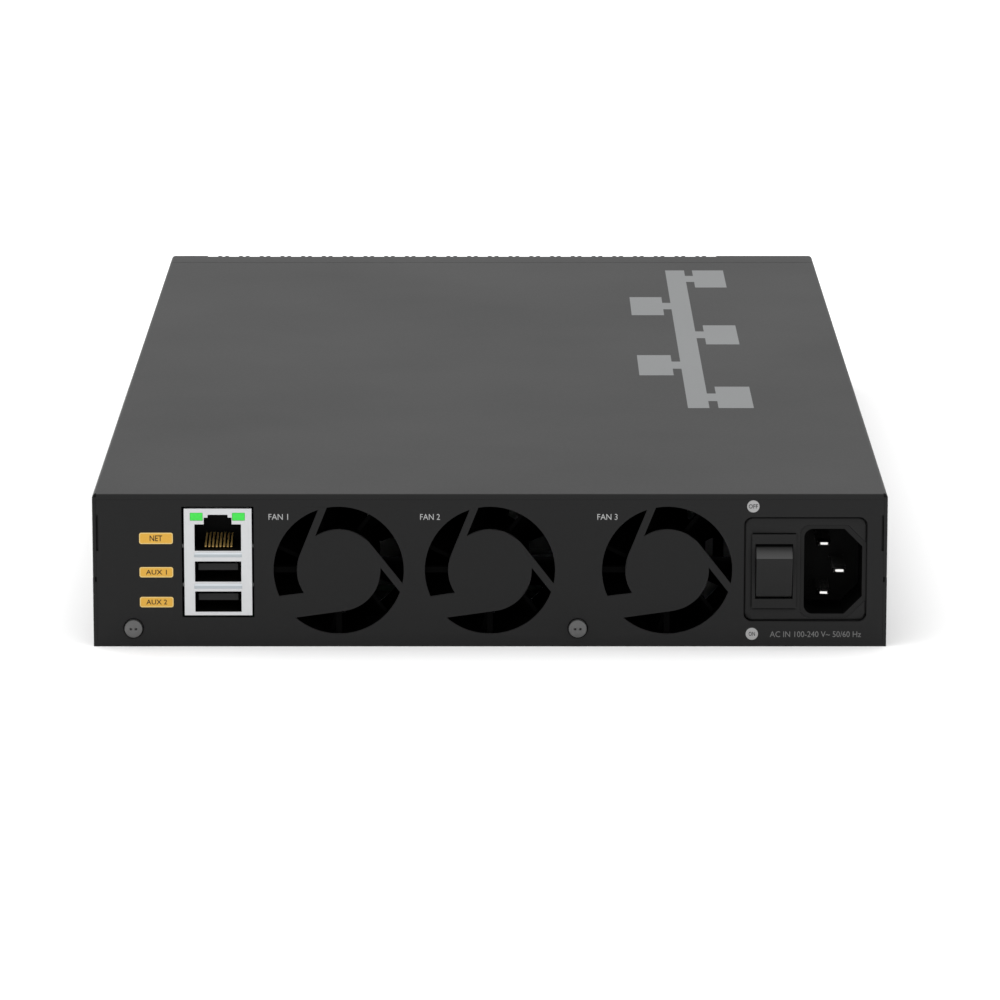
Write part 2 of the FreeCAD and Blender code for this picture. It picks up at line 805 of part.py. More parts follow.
def fan_stators():
    """Bearing sleeve with a four-tooth core and its coils, on each fan's motor base."""
    pieces = []
    for name in FAN_NAMES:
        x = "fan_%s_x" % name
        centre = (x, "fan_z")
        base = FAN_REAR + " + 2"
        sleeve = ring("sleeve", "y", centre, base, base + " + 17", "3", "shaft_radius + shaft_gap")
        core = ring("core", "y", centre, base + " + 4", base + " + 12", "5", "2.9")
        teeth = []
        for index in range(4):
            tooth = doc.addObject("Part::Box", "tooth")
            bind(tooth, "Length", "3.2")
            bind(tooth, "Width", "8")
            bind(tooth, "Height", "3")
            turn = Rotation(Vector(0, 1, 0), index * 90.0)
            corner = turn.multVec(Vector(4.6, 0, -1.5))
            tooth.Placement = FreeCAD.Placement(Vector(), turn)
            bind(tooth, "Placement.Base.x", "%s + (%.3f)" % (x, corner.x))
            bind(tooth, "Placement.Base.y", base + " + 4")
            bind(tooth, "Placement.Base.z", "fan_z + (%.3f)" % corner.z)
            teeth.append(tooth)
        pieces.append(fuse("stator_" + name, [sleeve, core] + teeth))
    return node("fan_stators", group("stator_set", pieces))


def fan_bracket():
    """Sheet across the fans' inner faces, with a foot on the floor."""
    body = new_body("bracket")
    near = FAN_INNER + " + seam"
    outline = rectangle("fan_1_x - 21", "floor_sheet + seam", "fan_3_x + 21", "height - lid - 0.4")
    pad(body, "y", near, near + " + 1", [outline])
    bores = [(("fan_%s_x" % name, "fan_z"), "fan_bore") for name in FAN_NAMES]
    bores += [(place, "screw_clear") for place in fan_screw_places()]
    pocket(body, "y", near + " - 1", near + " + 2", circles=bores)
    foot = rectangle("fan_1_x - 21", near + " + 0.5", "36", near + " + 8")
    pad(body, "z", "floor_sheet + seam", "floor_sheet + seam + 1", [foot])
    return node("fan_bracket", body)


def fan_screw_places():
    places = []
    for name in FAN_NAMES:
        for a, b in (("-", "-"), ("+", "+"), ("-", "+"), ("+", "-")):
            places.append(("fan_%s_x %s fan_hole_offset" % (name, a), "fan_z %s fan_hole_offset" % b))
    return places


def fan_screws():
    screws = []
    near = FAN_INNER + " + seam + 1"
    for place in fan_screw_places():
        head = rod("fan_head", "y", place, near, near + " + 1.6", "screw_head")
        shank = rod("fan_shank", "y", place, near + " - 8", near, "screw_core")
        screws.append(fuse("fan_screw", [head, shank]))
    return node("fan_screws", group("fan_screw_set", screws))


# ---------------------------------------------------------------- leads

def lead(points, radius):
    """A round wire along straight runs joined by tangent arcs as large as the runs allow."""
    places = [Vector(*[number(value) for value in point]) for point in points]
    edges = []
    begin = places[0]
    for before, here, after in zip(places, places[1:], places[2:]):
        into = (here - before).normalize()
        out = (after - here).normalize()
        half_turn = into.getAngle(out) / 2
        reach = 0.45 * min((here - before).Length, (after - here).Length)
        bend = reach / math.tan(half_turn)
        start = here - into * reach
        end = here + out * reach
        centre = here + (out - into).normalize() * (bend / math.cos(half_turn))
        middle = centre + (here - centre).normalize() * bend
        edges.append(Part.LineSegment(begin, start).toShape())
        edges.append(Part.Arc(start, middle, end).toShape())
        begin = end
    edges.append(Part.LineSegment(begin, places[-1]).toShape())
    path = Part.Wire(edges)
    first = (places[1] - places[0]).normalize()
    section = Part.Wire(Part.makeCircle(radius, places[0], first))
    return path.makePipeShell([section], True, True)


def lead_node(name, routes, radius):
    return node(name, coded(name + "_wires", Part.makeCompound([lead(route, radius) for route in routes])))


def fan_leads():
    routes = []
    for index, name in enumerate(FAN_NAMES):
        x = "fan_%s_x + 12" % name
        y = FAN_INNER + " + 1.4"
        routes.append([
            (x, y, "fan_z + 13"),
            (x, y + " + 7", "fan_z + 13"),
            (x + " - 3", y + " + 13", "fan_z + 3"),
            ("-4 + 9 * %d" % index, y + " + 22", "board_top + 3"),
            ("-4 + 9 * %d" % index, y + " + 29", "board_top + 2.2"),
        ])
    return lead_node("fan_leads", routes, 1.1)


def mains_leads():
    """Line, neutral and earth from the inlet and the switch to the power supply."""
    tail = REAR + " + 34"
    routes = []
    for x, z, lift in (("line_pin_x", "28.26", 2), ("earth_pin_x", "21.26", 0), ("rocker_x", "17", -3)):
        routes.append([
            (x, tail, z),
            (x, tail + " + 5", z),
            (x + " - 2", tail + " + 9.6", "%s + %d" % (z, lift)),
            (x + " - 2", tail + " + 15.2", "%s + %d" % (z, lift)),
        ])
    return lead_node("mains_leads", routes, 1.3)


def supply_leads():
    """Output pairs from the power supply to the main board."""
    routes = []
    for index in range(4):
        y = "-60 + 5 * %d" % index
        routes.append([
            ("supply_left - 0.2", y, "22"),
            ("supply_left - 5", y, "22"),
            ("supply_left - 11", y, "15"),
            ("supply_left - 15.4", y, "13"),
        ])
    return lead_node("supply_leads", routes, 1.2)


# ---------------------------------------------------------------- power entry

PLATE_FACE = "(-depth / 2 + plate_recess)"
PLATE_BACK = "(-depth / 2 + plate_recess + 2.4)"


def inlet_outline(grow):
    """The inlet's mouth: two cut corners on the earth side, two round ones on the other."""
    left = "inlet_left - (%s)" % grow
    right = "inlet_right + (%s)" % grow
    low = "inlet_low - (%s)" % grow
    high = "inlet_high + (%s)" % grow
    return [
        (left + " + inlet_corner", low),
        (right + " - inlet_chamfer", low),
        (right, low + " + inlet_chamfer"),
        (right, high + " - inlet_chamfer"),
        (right + " - inlet_chamfer", high),
        (left + " + inlet_corner", high, "inlet_corner"),
        (left, high + " - inlet_corner"),
        (left, low + " + inlet_corner", "inlet_corner"),
    ]


def switch_opening(grow):
    half = "(rocker_hole_wide / 2 + %s)" % grow
    low = "rocker_hole_low - %s" % grow
    high = "rocker_hole_high + %s" % grow
    return rectangle("rocker_x - " + half, low, "rocker_x + " + half, high)


def power_entry_plate():
    """Moulded carrier that fills the window, with a wider flange behind the panel."""
    body = new_body("entry")
    gap = "plate_gap"
    face = rounded(
        "window_left + " + gap,
        "window_low + " + gap,
        "window_right - " + gap,
        "window_high - " + gap,
        "window_corner - " + gap,
    )
    pad(body, "y", PLATE_FACE, PLATE_BACK, [face])
    front = number(PLATE_FACE)
    dress_edges(body, "Chamfer", "Size", "0.35", lambda at: abs(at.y - front) < 0.01)
    flange = rectangle("window_left - 1.0", "window_low - 2", "window_right + 2", "window_high + 2")
    pad(body, "y", FAN_REAR, PLATE_BACK, [flange])
    mouths = [inlet_outline("inlet_wall + 0.05"), switch_opening("0.65")]
    pocket(body, "y", PLATE_FACE + " - 1", PLATE_BACK + " + 1", mouths)
    half = "(switch_flange_wide / 2 - 0.2)"
    sides = ("rocker_x - " + half, "rocker_x + " + half)
    gaps = [
        rectangle(sides[0], "switch_flange_low - flange_gap", sides[1], "switch_flange_low + 0.1"),
        rectangle(sides[0], "switch_flange_high - 0.1", sides[1], "switch_flange_high + flange_gap"),
    ]
    pocket(body, "y", PLATE_FACE + " - 1", PLATE_FACE + " + 0.9", gaps)
    return node("power_entry_plate", body)


def inlet_housing():
    """Mains inlet on its side: a deep keyed cavity with slots for three pins."""
    body = new_body("inlet")
    back = PLATE_FACE + " + inlet_deep + 4"
    pad(body, "y", PLATE_FACE, back, [inlet_outline("inlet_wall")])
    pocket(body, "y", PLATE_FACE + " - 1", PLATE_FACE + " + inlet_deep", [inlet_outline("0")])
    slots = [rectangle(*pin_section(x, z)) for x, z in pin_places()]
    pocket(body, "y", PLATE_FACE + " + inlet_deep - 1", back + " + 1", slots)
    return node("inlet_housing", body)


def pin_places():
    return [
        ("line_pin_x", "(inlet_z + pin_spread)"),
        ("line_pin_x", "(inlet_z - pin_spread)"),
        ("earth_pin_x", "inlet_z"),
    ]


def pin_section(x, z):
    return (
        x + " - pin_wide / 2",
        z + " - pin_thick / 2",
        x + " + pin_wide / 2",
        z + " + pin_thick / 2",
    )


def inlet_pins():
    """Flat pins with wedge tips; the earth pin stands further forward."""
    pins = []
    back = PLATE_FACE + " + inlet_deep + 14"
    for (x, z), tip in zip(pin_places(), ("4", "4", "0.8")):
        left, low, right, high = pin_section(x, z)
        start = "%s + %s" % (PLATE_FACE, tip)
        blade = box("pin_blade", (left, right), (start + " + 2", back), (low, high))
        nose = doc.addObject("Part::Wedge", "pin_nose")
        for prop, text in (
            ("Xmin", "0"),
            ("Xmax", "pin_wide"),
            ("Zmin", "0"),
            ("Zmax", "pin_thick"),
            ("X2min", "0.8"),
            ("X2max", "pin_wide - 0.8"),
            ("Z2min", "0.65"),
            ("Z2max", "pin_thick - 0.65"),
            ("Ymin", "0"),
            ("Ymax", "2"),
        ):
            bind(nose, prop, text)
        # the wedge narrows along its +Y, so it is turned to narrow towards the rear
        nose.Placement = FreeCAD.Placement(Vector(), Rotation(Vector(0, 0, 1), 180))
        bind(nose, "Placement.Base.x", right)
        bind(nose, "Placement.Base.y", start + " + 2")
        bind(nose, "Placement.Base.z", low)
        pins.append(fuse("pin", [blade, nose]))
    return node("inlet_pins", group("pin_set", pins))


ROCKER_Y = "(-depth / 2 + rocker_inset)"
ROCKER_Z = "((rocker_hole_low + rocker_hole_high) / 2)"


def switch_housing():
    """Rocker well with a thin flange and the axle that the rocker turns on."""
    body = new_body("well")
    half = "(switch_flange_wide / 2)"
    flange = rectangle("rocker_x - " + half, "switch_flange_low", "rocker_x + " + half, "switch_flange_high")
    pad(body, "y", PLATE_FACE + " - 0.5", PLATE_FACE, [flange])
    pad(body, "y", PLATE_FACE, PLATE_FACE + " + 16", [switch_opening("0.6")])
    pocket(body, "y", PLATE_FACE + " - 1", PLATE_FACE + " + 12.5", [switch_opening("0")])
    axle = rod(
        "axle",
        "x",
        (ROCKER_Y, ROCKER_Z),
        "rocker_x - rocker_hole_wide / 2 - 0.3",
        "rocker_x + rocker_hole_wide / 2 + 0.3",
        "rocker_axle",
    )
    return node("switch_housing", fuse("well_and_axle", [body, axle]))


def switch_rocker():
    """Rocker with a flat face and round ends, resting in the on position with its top end out."""
    reach = "rocker_radius + 1"
    ends = ("-rocker_wide / 2", "rocker_wide / 2")
    drum = rod("drum", "x", ("0", "0"), *ends, "rocker_radius")
    ahead = box("ahead", ("-10", "10"), ("-(%s)" % reach, "-rocker_face"), ("-12", "12"))
    behind = box("behind", ("-10", "10"), ("3.2", reach), ("-12", "12"))
    hole = rod("rocker_hole", "x", ("0", "0"), "-10", "10", "rocker_axle + shaft_gap")
    rocker = cut("rocker_level", drum, ahead, behind, hole)
    rocker.Placement = FreeCAD.Placement(Vector(), Rotation(Vector(1, 0, 0), number("rocker_tilt")))
    bind(rocker, "Placement.Rotation.Angle", "rocker_tilt * 1 deg")
    bind(rocker, "Placement.Base.x", "rocker_x")
    bind(rocker, "Placement.Base.y", ROCKER_Y)
    bind(rocker, "Placement.Base.z", ROCKER_Z)
    return node("switch_rocker", rocker)


def switch_terminals():
    blades = []
    start = PLATE_FACE + " + 16"
    for z in ("17", "21.3", "25.6"):
        sides = ("rocker_x - 2.4", "rocker_x + 2.4")
        blades.append(box("blade", sides, (start, start + " + 8"), (z + " - 0.4", z + " + 0.4")))
    return node("switch_terminals", group("blade_set", blades))


# ---------------------------------------------------------------- power supply

def supply_cage():
    """Perforated tray and sides of the power supply."""
    body = new_body("cage")
    sheet = "supply_sheet"
    low = "floor_sheet + seam"
    outline = rectangle("supply_left", low, "supply_right", "supply_high")
    pad(body, "y", "supply_rear", "supply_front", [outline])
    sides = ("supply_left + " + sheet, "supply_right - " + sheet)
    inner = rectangle(sides[0], low + " + " + sheet, sides[1], "supply_high + 1")
    pocket(body, "y", "supply_rear + " + sheet, "supply_front - " + sheet, [inner])
    vent = rounded("supply_left + 4", "12", "supply_left + 7", "36", "1.4")
    for start, end in (("supply_front - 2", "supply_front + 1"), ("supply_rear - 1", "supply_rear + 2")):
        pocket_row(body, "y", start, end, vent, "5.2", 11)
    return node("supply_cage", body)


SUPPLY_FLOOR = "(floor_sheet + seam + supply_sheet + 4)"


def supply_board():
    board = box(
        "supply_sheet_board",
        ("supply_left + 2", "supply_right - 2"),
        ("supply_rear + 3", "supply_front - 3"),
        (SUPPLY_FLOOR, SUPPLY_FLOOR + " + 1.6"),
    )
    return node("supply_board", board)


def supply_transformer():
    """Ferrite core with a wound bobbin through it."""
    top = SUPPLY_FLOOR + " + 1.65"
    core = box("core_block", ("60", "88"), ("-70", "-42"), (top, top + " + 22"))
    window = box("core_window", ("65", "83"), ("-72", "-40"), (top + " + 4", top + " + 18"))
    bobbin = box("bobbin", ("65.1", "82.9"), ("-74", "-38"), (top + " + 4.1", top + " + 17.9"))
    return node("supply_transformer", group("transformer", [cut("ferrite", core, window), bobbin]))


def supply_capacitors():
    cans = []
    top = SUPPLY_FLOOR + " + 1.65"
    places = (("60", "-125", 9, 30), ("60", "-104", 9, 30), ("54", "-22", 5, 20), ("66", "-22", 5, 20))
    for x, y, radius, tall in places:
        cans.append(rod("can", "z", (x, y), top, "%s + %d" % (top, tall), radius))
    return node("supply_capacitors", group("can_set", cans))


def supply_heatsinks():
    fins = []
    top = SUPPLY_FLOOR + " + 1.65"
    for x in ("75", "97"):
        body = box("sink", (x + " - 1.5", x + " + 1.5"), ("-135", "-85"), (top, top + " + 30"))
        ribs = []
        for index in range(5):
            z = "%s + %d" % (top, 5 + 5 * index)
            ribs.append(box("rib", (x + " + 1", x + " + 8"), ("-135", "-85"), (z, z + " + 1")))
        fins.append(fuse("finned", [body] + ribs))
    return node("supply_heatsinks", group("sink_set", fins))


def supply_choke():
    """Toroid standing beside the output capacitors."""
    torus = doc.addObject("Part::Torus", "toroid")
    bind(torus, "Radius1", "7")
    bind(torus, "Radius2", "3.4")
    bind(torus, "Placement.Base.x", "92")
    bind(torus, "Placement.Base.y", "-22")
    bind(torus, "Placement.Base.z", SUPPLY_FLOOR + " + 5.2")
    return node("supply_choke", torus)


# ---------------------------------------------------------------- main board

def main_board():
    """L-shaped board: a tongue under the management ports and a full-width part behind the ports."""
    body = new_body("board")
    edge = "(width / 2 - 3.8)"
    outline = [
        ("-" + edge, REAR + " + 5"),
        ("mgmt_right + 2", REAR + " + 5"),
        ("mgmt_right + 2", FAN_INNER + " + 9.5"),
        ("supply_left - 3", FAN_INNER + " + 9.5"),
        ("supply_left - 3", "supply_front + 4"),
        (edge, "supply_front + 4"),
        (edge, BEZEL_BACK + " + 8"),
        ("-" + edge, BEZEL_BACK + " + 8"),
    ]
    holes = [((x, y), "screw_clear") for x, y in STANDOFFS]
    pad(body, "z", BOARD_UNDER, "board_top", [outline])
    pocket(body, "z", BOARD_UNDER + " - 1", "board_top + 1", circles=holes)
    return node("main_board", body)


def on_board(name, x, y, wide, long, tall):
    """A block centred on a place on the main board."""
    return box(
        name,
        ("%s - %s / 2" % (x, wide), "%s + %s / 2" % (x, wide)),
        ("%s - %s / 2" % (y, long), "%s + %s / 2" % (y, long)),
        ("board_top + 0.05", "board_top + 0.05 + %s" % tall),
    )


def board_chips():
    """Switch chip, processor, memory and port interface chips."""
    chips = [on_board("switch_die", 0, 90, 40, 40, 3), on_board("processor_die", -60, -70, 27, 27, 2)]
    chips += [on_board("memory", -90, -90 + 16 * index, 9, 13, 1.2) for index in range(4)]
    chips += [on_board("interface", -86 + 24 * index, 150, 12, 12, 1.4) for index in range(3)]
    chips += [on_board("flash", -30, -40 + 14 * index, 8, 6, 1.6) for index in range(2)]
    return node("board_chips", group("chip_set", chips))


def finned(name, x, y, wide, low, high, fin_count):
    """Extruded heat sink: a base plate with upright fins along Y."""
    base = box(
        name + "_base",
        ("%s - %s / 2" % (x, wide), "%s + %s / 2" % (x, wide)),
        ("%s - %s / 2" % (y, wide), "%s + %s / 2" % (y, wide)),
        (low, low + " + 4"),
    )
    step = "((%s - 1.2) / %d)" % (wide, fin_count - 1)
    fins = []
    for index in range(fin_count):
        left = "%s - %s / 2 + %s * %d" % (x, wide, step, index)
        fins.append(box(
            name + "_fin",
            (left, left + " + 1.2"),
            ("%s - %s / 2" % (y, wide), "%s + %s / 2" % (y, wide)),
            (low + " + 3.5", high),
        ))
    return fuse(name, [base] + fins)


def main_heatsink():
    return node("main_heatsink", finned("big_sink", 0, 90, 70, "board_top + 3.1", "38", 18))


def processor_heatsink():
    return node("processor_heatsink", finned("small_sink", -60, -70, 38, "board_top + 2.1", "30", 11))


def heatsink_pins():
    """Spring push pins beside each heat sink's chip."""
    pins = []
    for x, y in ((-37, 90), (37, 90), (-81.5, -70), (-38.5, -70)):
        collar = rod("pin_collar", "z", (x, y), "board_top + 0.05", "board_top + 9", "1.6")
        pins.append(collar)
    return node("heatsink_pins", group("push_pin_set", pins))


def power_inductors():
    blocks = [on_board("inductor", -60 + 13 * index, 20, 10, 10, 5.5) for index in range(8)]
    return node("power_inductors", group("inductor_set", blocks))


def board_capacitors():
    cans = []
    for index in range(9):
        x = str(-62 + 13 * index)
        cans.append(rod("small_can", "z", (x, "34"), "board_top + 0.05", "board_top + 9", "3.4"))
    return node("board_capacitors", group("small_can_set", cans))


def board_headers():
    """Sockets for the fan leads and for the supply's output."""
    headers = [on_board("fan_header", -4 + 9 * index, FAN_INNER + " + 33.5", 8, 6, 4.2) for index in range(3)]
    headers.append(on_board("supply_header", "supply_left - 18", -52.5, 4.6, 22, 6.5))
    return node("board_headers", group("header_set", headers))


def board_screws():
    screws = []
    for x, y in STANDOFFS:
        head = rod("board_head", "z", (x, y), "board_top", "board_top + 1.8", "screw_head")
        shank = rod("board_shank", "z", (x, y), "floor_sheet + 1", "board_top", "screw_core")
        screws.append(fuse("board_screw", [head, shank]))
    return node("board_screws", group("board_screw_set", screws))


# ---------------------------------------------------------------- port side connectors

RJ_FACE = "(depth / 2 + rj_proud)"
RJ_BACK = "(depth / 2 + rj_proud - rj_deep)"
RJ_TOP = "(mgmt_low + rj_high)"


def rj_mouths():
    """Mouths of the stacked jacks: the upper row's latches are above, the lower row's below."""
    mouths = []
    for index in range(RJ_COLUMNS):
        centre = "(rj_left + 1.05 + rj_pitch * %s)" % (index + 0.5)
        mouths.append((centre, "(mgmt_low + rj_high / 2 + 1.1)", 1))
        mouths.append((centre, "(mgmt_low + rj_high / 2 - 1.1)", -1))
    return mouths


def rj45_shield():
    """Tinned shield over the top, the sides and the face of the stacked jacks."""
    body = new_body("jack_shield")
    pad(body, "y", RJ_BACK, RJ_FACE, [rectangle("rj_left", "mgmt_low", rj_right(), RJ_TOP)])
    inside = rectangle("rj_left + tin", "mgmt_low - 1", rj_right() + " - tin", RJ_TOP + " - tin")
    pocket(body, "y", RJ_BACK + " + tin", RJ_FACE + " - tin", [inside])
    mouths = [jack_outline(*mouth) for mouth in rj_mouths()]
    pocket(body, "y", RJ_FACE + " - tin - 0.5", RJ_FACE + " + 1", mouths)
    return node("rj45_shield", body)


def rj45_insulator():
    """Black moulding behind the shield, with one cavity for each jack."""
    body = new_body("jack_block")
    gap = "(tin + 0.05)"
    block = rectangle("rj_left + " + gap, "mgmt_low + 0.05", rj_right() + " - " + gap, RJ_TOP + " - " + gap)
    pad(body, "y", RJ_BACK + " + " + gap, RJ_FACE + " - " + gap, [block])
    mouths = [jack_outline(*mouth) for mouth in rj_mouths()]
    pocket(body, "y", RJ_FACE + " - jack_deep", RJ_FACE + " + 1", mouths)
    return node("rj45_insulator", body)


def jack_contacts(name, centre, base, way, back, run):
    """Eight sprung wires that rise from the mouth's flat side towards the back of a cavity."""
    wires = []
    for index in range(8):
        x = "%s + contact_pitch * %s" % (centre, index - 3.5)
        wire = doc.addObject("Part::Wedge", name)
        for prop, text in (
            ("Xmin", "0"),
            ("Xmax", "contact_wide"),
            ("X2min", "0"),
            ("X2max", "contact_wide"),
            ("Ymin", "0"),
            ("Ymax", "9"),
            ("Zmin", "0"),
            ("Zmax", "0.35"),
            ("Z2min", "2.0"),
            ("Z2max", "2.35"),
        ):
            bind(wire, prop, text)
        # the wedge starts low at the mouth and ends high, 9 mm further in
        flip = Rotation(Vector(0, 1, 0), 0 if way > 0 else 180)
        if run > 0:
            wire.Placement = FreeCAD.Placement(Vector(), flip)
        else:
            wire.Placement = FreeCAD.Placement(Vector(), Rotation(Vector(0, 0, 1), 180) * flip)
        turned = (way > 0) == (run > 0)
        bind(wire, "Placement.Base.x", "%s %s contact_wide / 2" % (x, "-" if turned else "+"))
        bind(wire, "Placement.Base.y", back)
        bind(wire, "Placement.Base.z", "%s + (%d) * 0.3" % (base, way))
        wires.append(wire)
    return wires


def rj45_contacts():
    wires = []
    for centre, base, way in rj_mouths():
        wires += jack_contacts("jack_wire", centre, base, way, RJ_FACE + " - 3.5", -1)
    return node("rj45_contacts", group("jack_wire_set", wires))


SFP_FACE = "(depth / 2 + sfp_proud)"
SFP_BACK = "(depth / 2 + sfp_proud - sfp_deep)"
SFP_TOP = "(mgmt_low + sfp_high)"


def sfp_cage():
    """Stacked cage folded and locked together from thin flat sheets."""
    sheets = []
    ends = (SFP_BACK, SFP_FACE)
    across = ("sfp_left", sfp_right())
    sheets.append(box("cage_floor", across, ends, ("mgmt_low", "mgmt_low + tin")))
    sheets.append(box("cage_roof", across, ends, (SFP_TOP + " - tin", SFP_TOP)))
    upright = ("mgmt_low + tin", SFP_TOP + " - tin")
    for index in range(SFP_COLUMNS + 1):
        left = "sfp_left + sfp_pitch * %d" % index
        sheets.append(box("cage_wall", (left, left + " + tin"), (SFP_BACK + " + tin", SFP_FACE), upright))
    sheets.append(box("cage_back", across, (SFP_BACK, SFP_BACK + " + tin"), upright))
    for index in range(SFP_COLUMNS):
        inside = ("sfp_left + sfp_pitch * %d + tin" % index, "sfp_left + sfp_pitch * %d" % (index + 1))
        for z in ("mgmt_low + tin + sfp_port_high", SFP_TOP + " - 2 * tin - sfp_port_high"):
            sheets.append(box("cage_shelf", inside, (SFP_BACK + " + 12", SFP_FACE), (z, z + " + tin")))
    return node("sfp_cage", group("cage_set", sheets))


def sfp_middle(index):
    return "(sfp_left + sfp_pitch * %d + (sfp_pitch + tin) / 2)" % index


def sfp_connectors():
    """Edge sockets at the back of each port, on one upright moulding per column."""
    blocks = []
    for index in range(SFP_COLUMNS):
        x = sfp_middle(index)
        sides = (x + " - 5.6", x + " + 5.6")
        mouth = (x + " - 4.6", x + " + 4.6")
        near = SFP_BACK + " + tin + 0.1"
        tall = ("mgmt_low + tin + 0.05", SFP_TOP + " - tin - 0.05")
        block = box("riser", sides, (near, near + " + 11"), tall)
        slots = []
        for z in ("mgmt_low + tin + 3", "mgmt_low + 16.8"):
            slots.append(box("slot", mouth, (near + " + 5", near + " + 12"), (z, z + " + 1.4")))
        blocks.append(cut("edge_socket", block, *slots))
    return node("sfp_connectors", group("edge_socket_set", blocks))


def light_pipes():
    """Clear bars between the two rows of cages, and four round windows beside the buttons."""
    bars = []
    low = "mgmt_low + 2 * tin + sfp_port_high + 0.6"
    ends = (SFP_BACK + " + 14", SFP_FACE + " - 0.3")
    for index in range(SFP_COLUMNS):
        for side in ("- 3.6", "+ 2.0"):
            left = sfp_middle(index) + " " + side
            bars.append(box("bar", (left, left + " + bar_wide"), ends, (low, low + " + bar_wide")))
    for x in lamp_places():
        ends = (BEZEL_BACK + " + 6", FRONT + " + 0.2")
        bars.append(rod("window", "y", (x, "lamp_z"), *ends, "lamp_radius"))
    return node("light_pipes", group("bar_set", bars))


def console_port():
    """Small serial socket with an oval shell."""
    body = new_body("console")
    outer = rounded("console_x - 4.47", "9.3", "console_x + 4.47", "12.56", "1.6")
    inner = rounded("console_x - 4.17", "9.6", "console_x + 4.17", "12.26", "1.3")
    tongue = rectangle("console_x - 3.3", "10.6", "console_x + 3.3", "11.3")
    pad(body, "y", FRONT + " - 8", FRONT + " + 0.3", [outer])
    pocket(body, "y", FRONT + " - 6.8", FRONT + " + 1", [inner])
    pad(body, "y", FRONT + " - 7", FRONT + " - 0.9", [tongue])
    return node("console_port", body)


def tact_switches():
    """Upright switch blocks behind the two buttons, on one small riser card."""
    riser = box(
        "riser_card",
        ("button_x - 6", "button_x + 6"),
        (BEZEL_BACK + " + 1.5", BEZEL_BACK + " + 3"),
        ("board_top + 6", "28"),
    )
    blocks = [
        box(
            "tact",
            ("button_x - 2", "button_x + 2"),
            (BEZEL_BACK + " + 3", BEZEL_BACK + " + 6"),
            (z + " - 2", z + " + 2"),
        )
        for z in ("reset_z", "mode_z")
    ]
    return node("tact_switches", fuse("tact_set", [riser] + blocks))


def reset_button():
    """Slim plunger behind a pinhole-sized opening."""
    stem = rod("reset_stem", "y", ("button_x", "reset_z"), BEZEL_BACK + " + 7.2", FRONT + " - 0.3", "1.2")
    return node("reset_button", stem)


def mode_button():
    """Push button that changes what the port lights show."""
    body = new_body("mode")
    cap = rounded("button_x - 2.8", "mode_z - 1.3", "button_x + 2.8", "mode_z + 1.3", "1.2")
    pad(body, "y", FRONT + " - 4", FRONT + " + 0.6", [cap])
    pad(body, "y", BEZEL_BACK + " + 7.2", FRONT + " - 4", circles=[(("button_x", "mode_z"), "1.1")])
    return node("mode_button", body)


# ---------------------------------------------------------------- management ports

MGMT_FACE = "(-depth / 2 - mgmt_proud)"
MGMT_BACK = "(-depth / 2 - mgmt_proud + mgmt_deep)"


def usb_outline(low):
    return rectangle("mgmt_jack_x - usb_wide / 2", low, "mgmt_jack_x + usb_wide / 2", "%s + usb_high" % low)


def mgmt_shield():
    """Plated shield of the stacked jack and its two sockets, with contact fingers at its sides."""
    body = new_body("stack_shield")
    pad(body, "y", MGMT_FACE, MGMT_BACK, [rectangle("mgmt_left", "mgmt_low", "mgmt_right", "mgmt_high")])
    shell = " mgmt_shell"
    sides = ("mgmt_left +" + shell, "mgmt_right -" + shell)
    inside = rectangle(sides[0], "mgmt_low - 1", sides[1], "mgmt_high -" + shell)
    pocket(body, "y", MGMT_FACE + " +" + shell, MGMT_BACK + " -" + shell, [inside])
    sockets = [usb_outline(low) for low in ("usb_upper_z", "usb_lower_z")]
    mouths = [jack_outline("mgmt_jack_x", "mgmt_jack_z")] + sockets + lamp_outlines("0")
    pocket(body, "y", MGMT_FACE + " - 1", MGMT_FACE + " + mgmt_shell + 0.5", mouths)
    grooves = [rectangle("mgmt_jack_x - 6.6", z, "mgmt_jack_x + 6.6", z + " + 1.3") for z in ("25.4", "16.5")]
    pocket(body, "y", MGMT_FACE + " - 1", MGMT_FACE + " + 0.2", grooves)
    fingers = []
    for low in ("17", "28"):
        fingers.append(rectangle("mgmt_left - 0.5", low, "mgmt_left + 0.1", low + " + 1.1"))
        fingers.append(rectangle("mgmt_right - 0.1", low, "mgmt_right + 0.4", low + " + 1.1"))
    pad(body, "y", MGMT_FACE + " + 0.5", MGMT_FACE + " + 1", fingers)
    return node("mgmt_shield", body)


LENS_LEFTS = ("lens_left", "lens_right - lens_wide")


def lamp_outlines(inset):
    """Windows for the two lamps above the management jack."""
    outlines = []
    for left in LENS_LEFTS:
        sides = (left + " + " + inset, left + " + lens_wide - " + inset)
        outlines.append(rectangle(sides[0], "lens_low + " + inset, sides[1], "lens_high - " + inset))
    return outlines


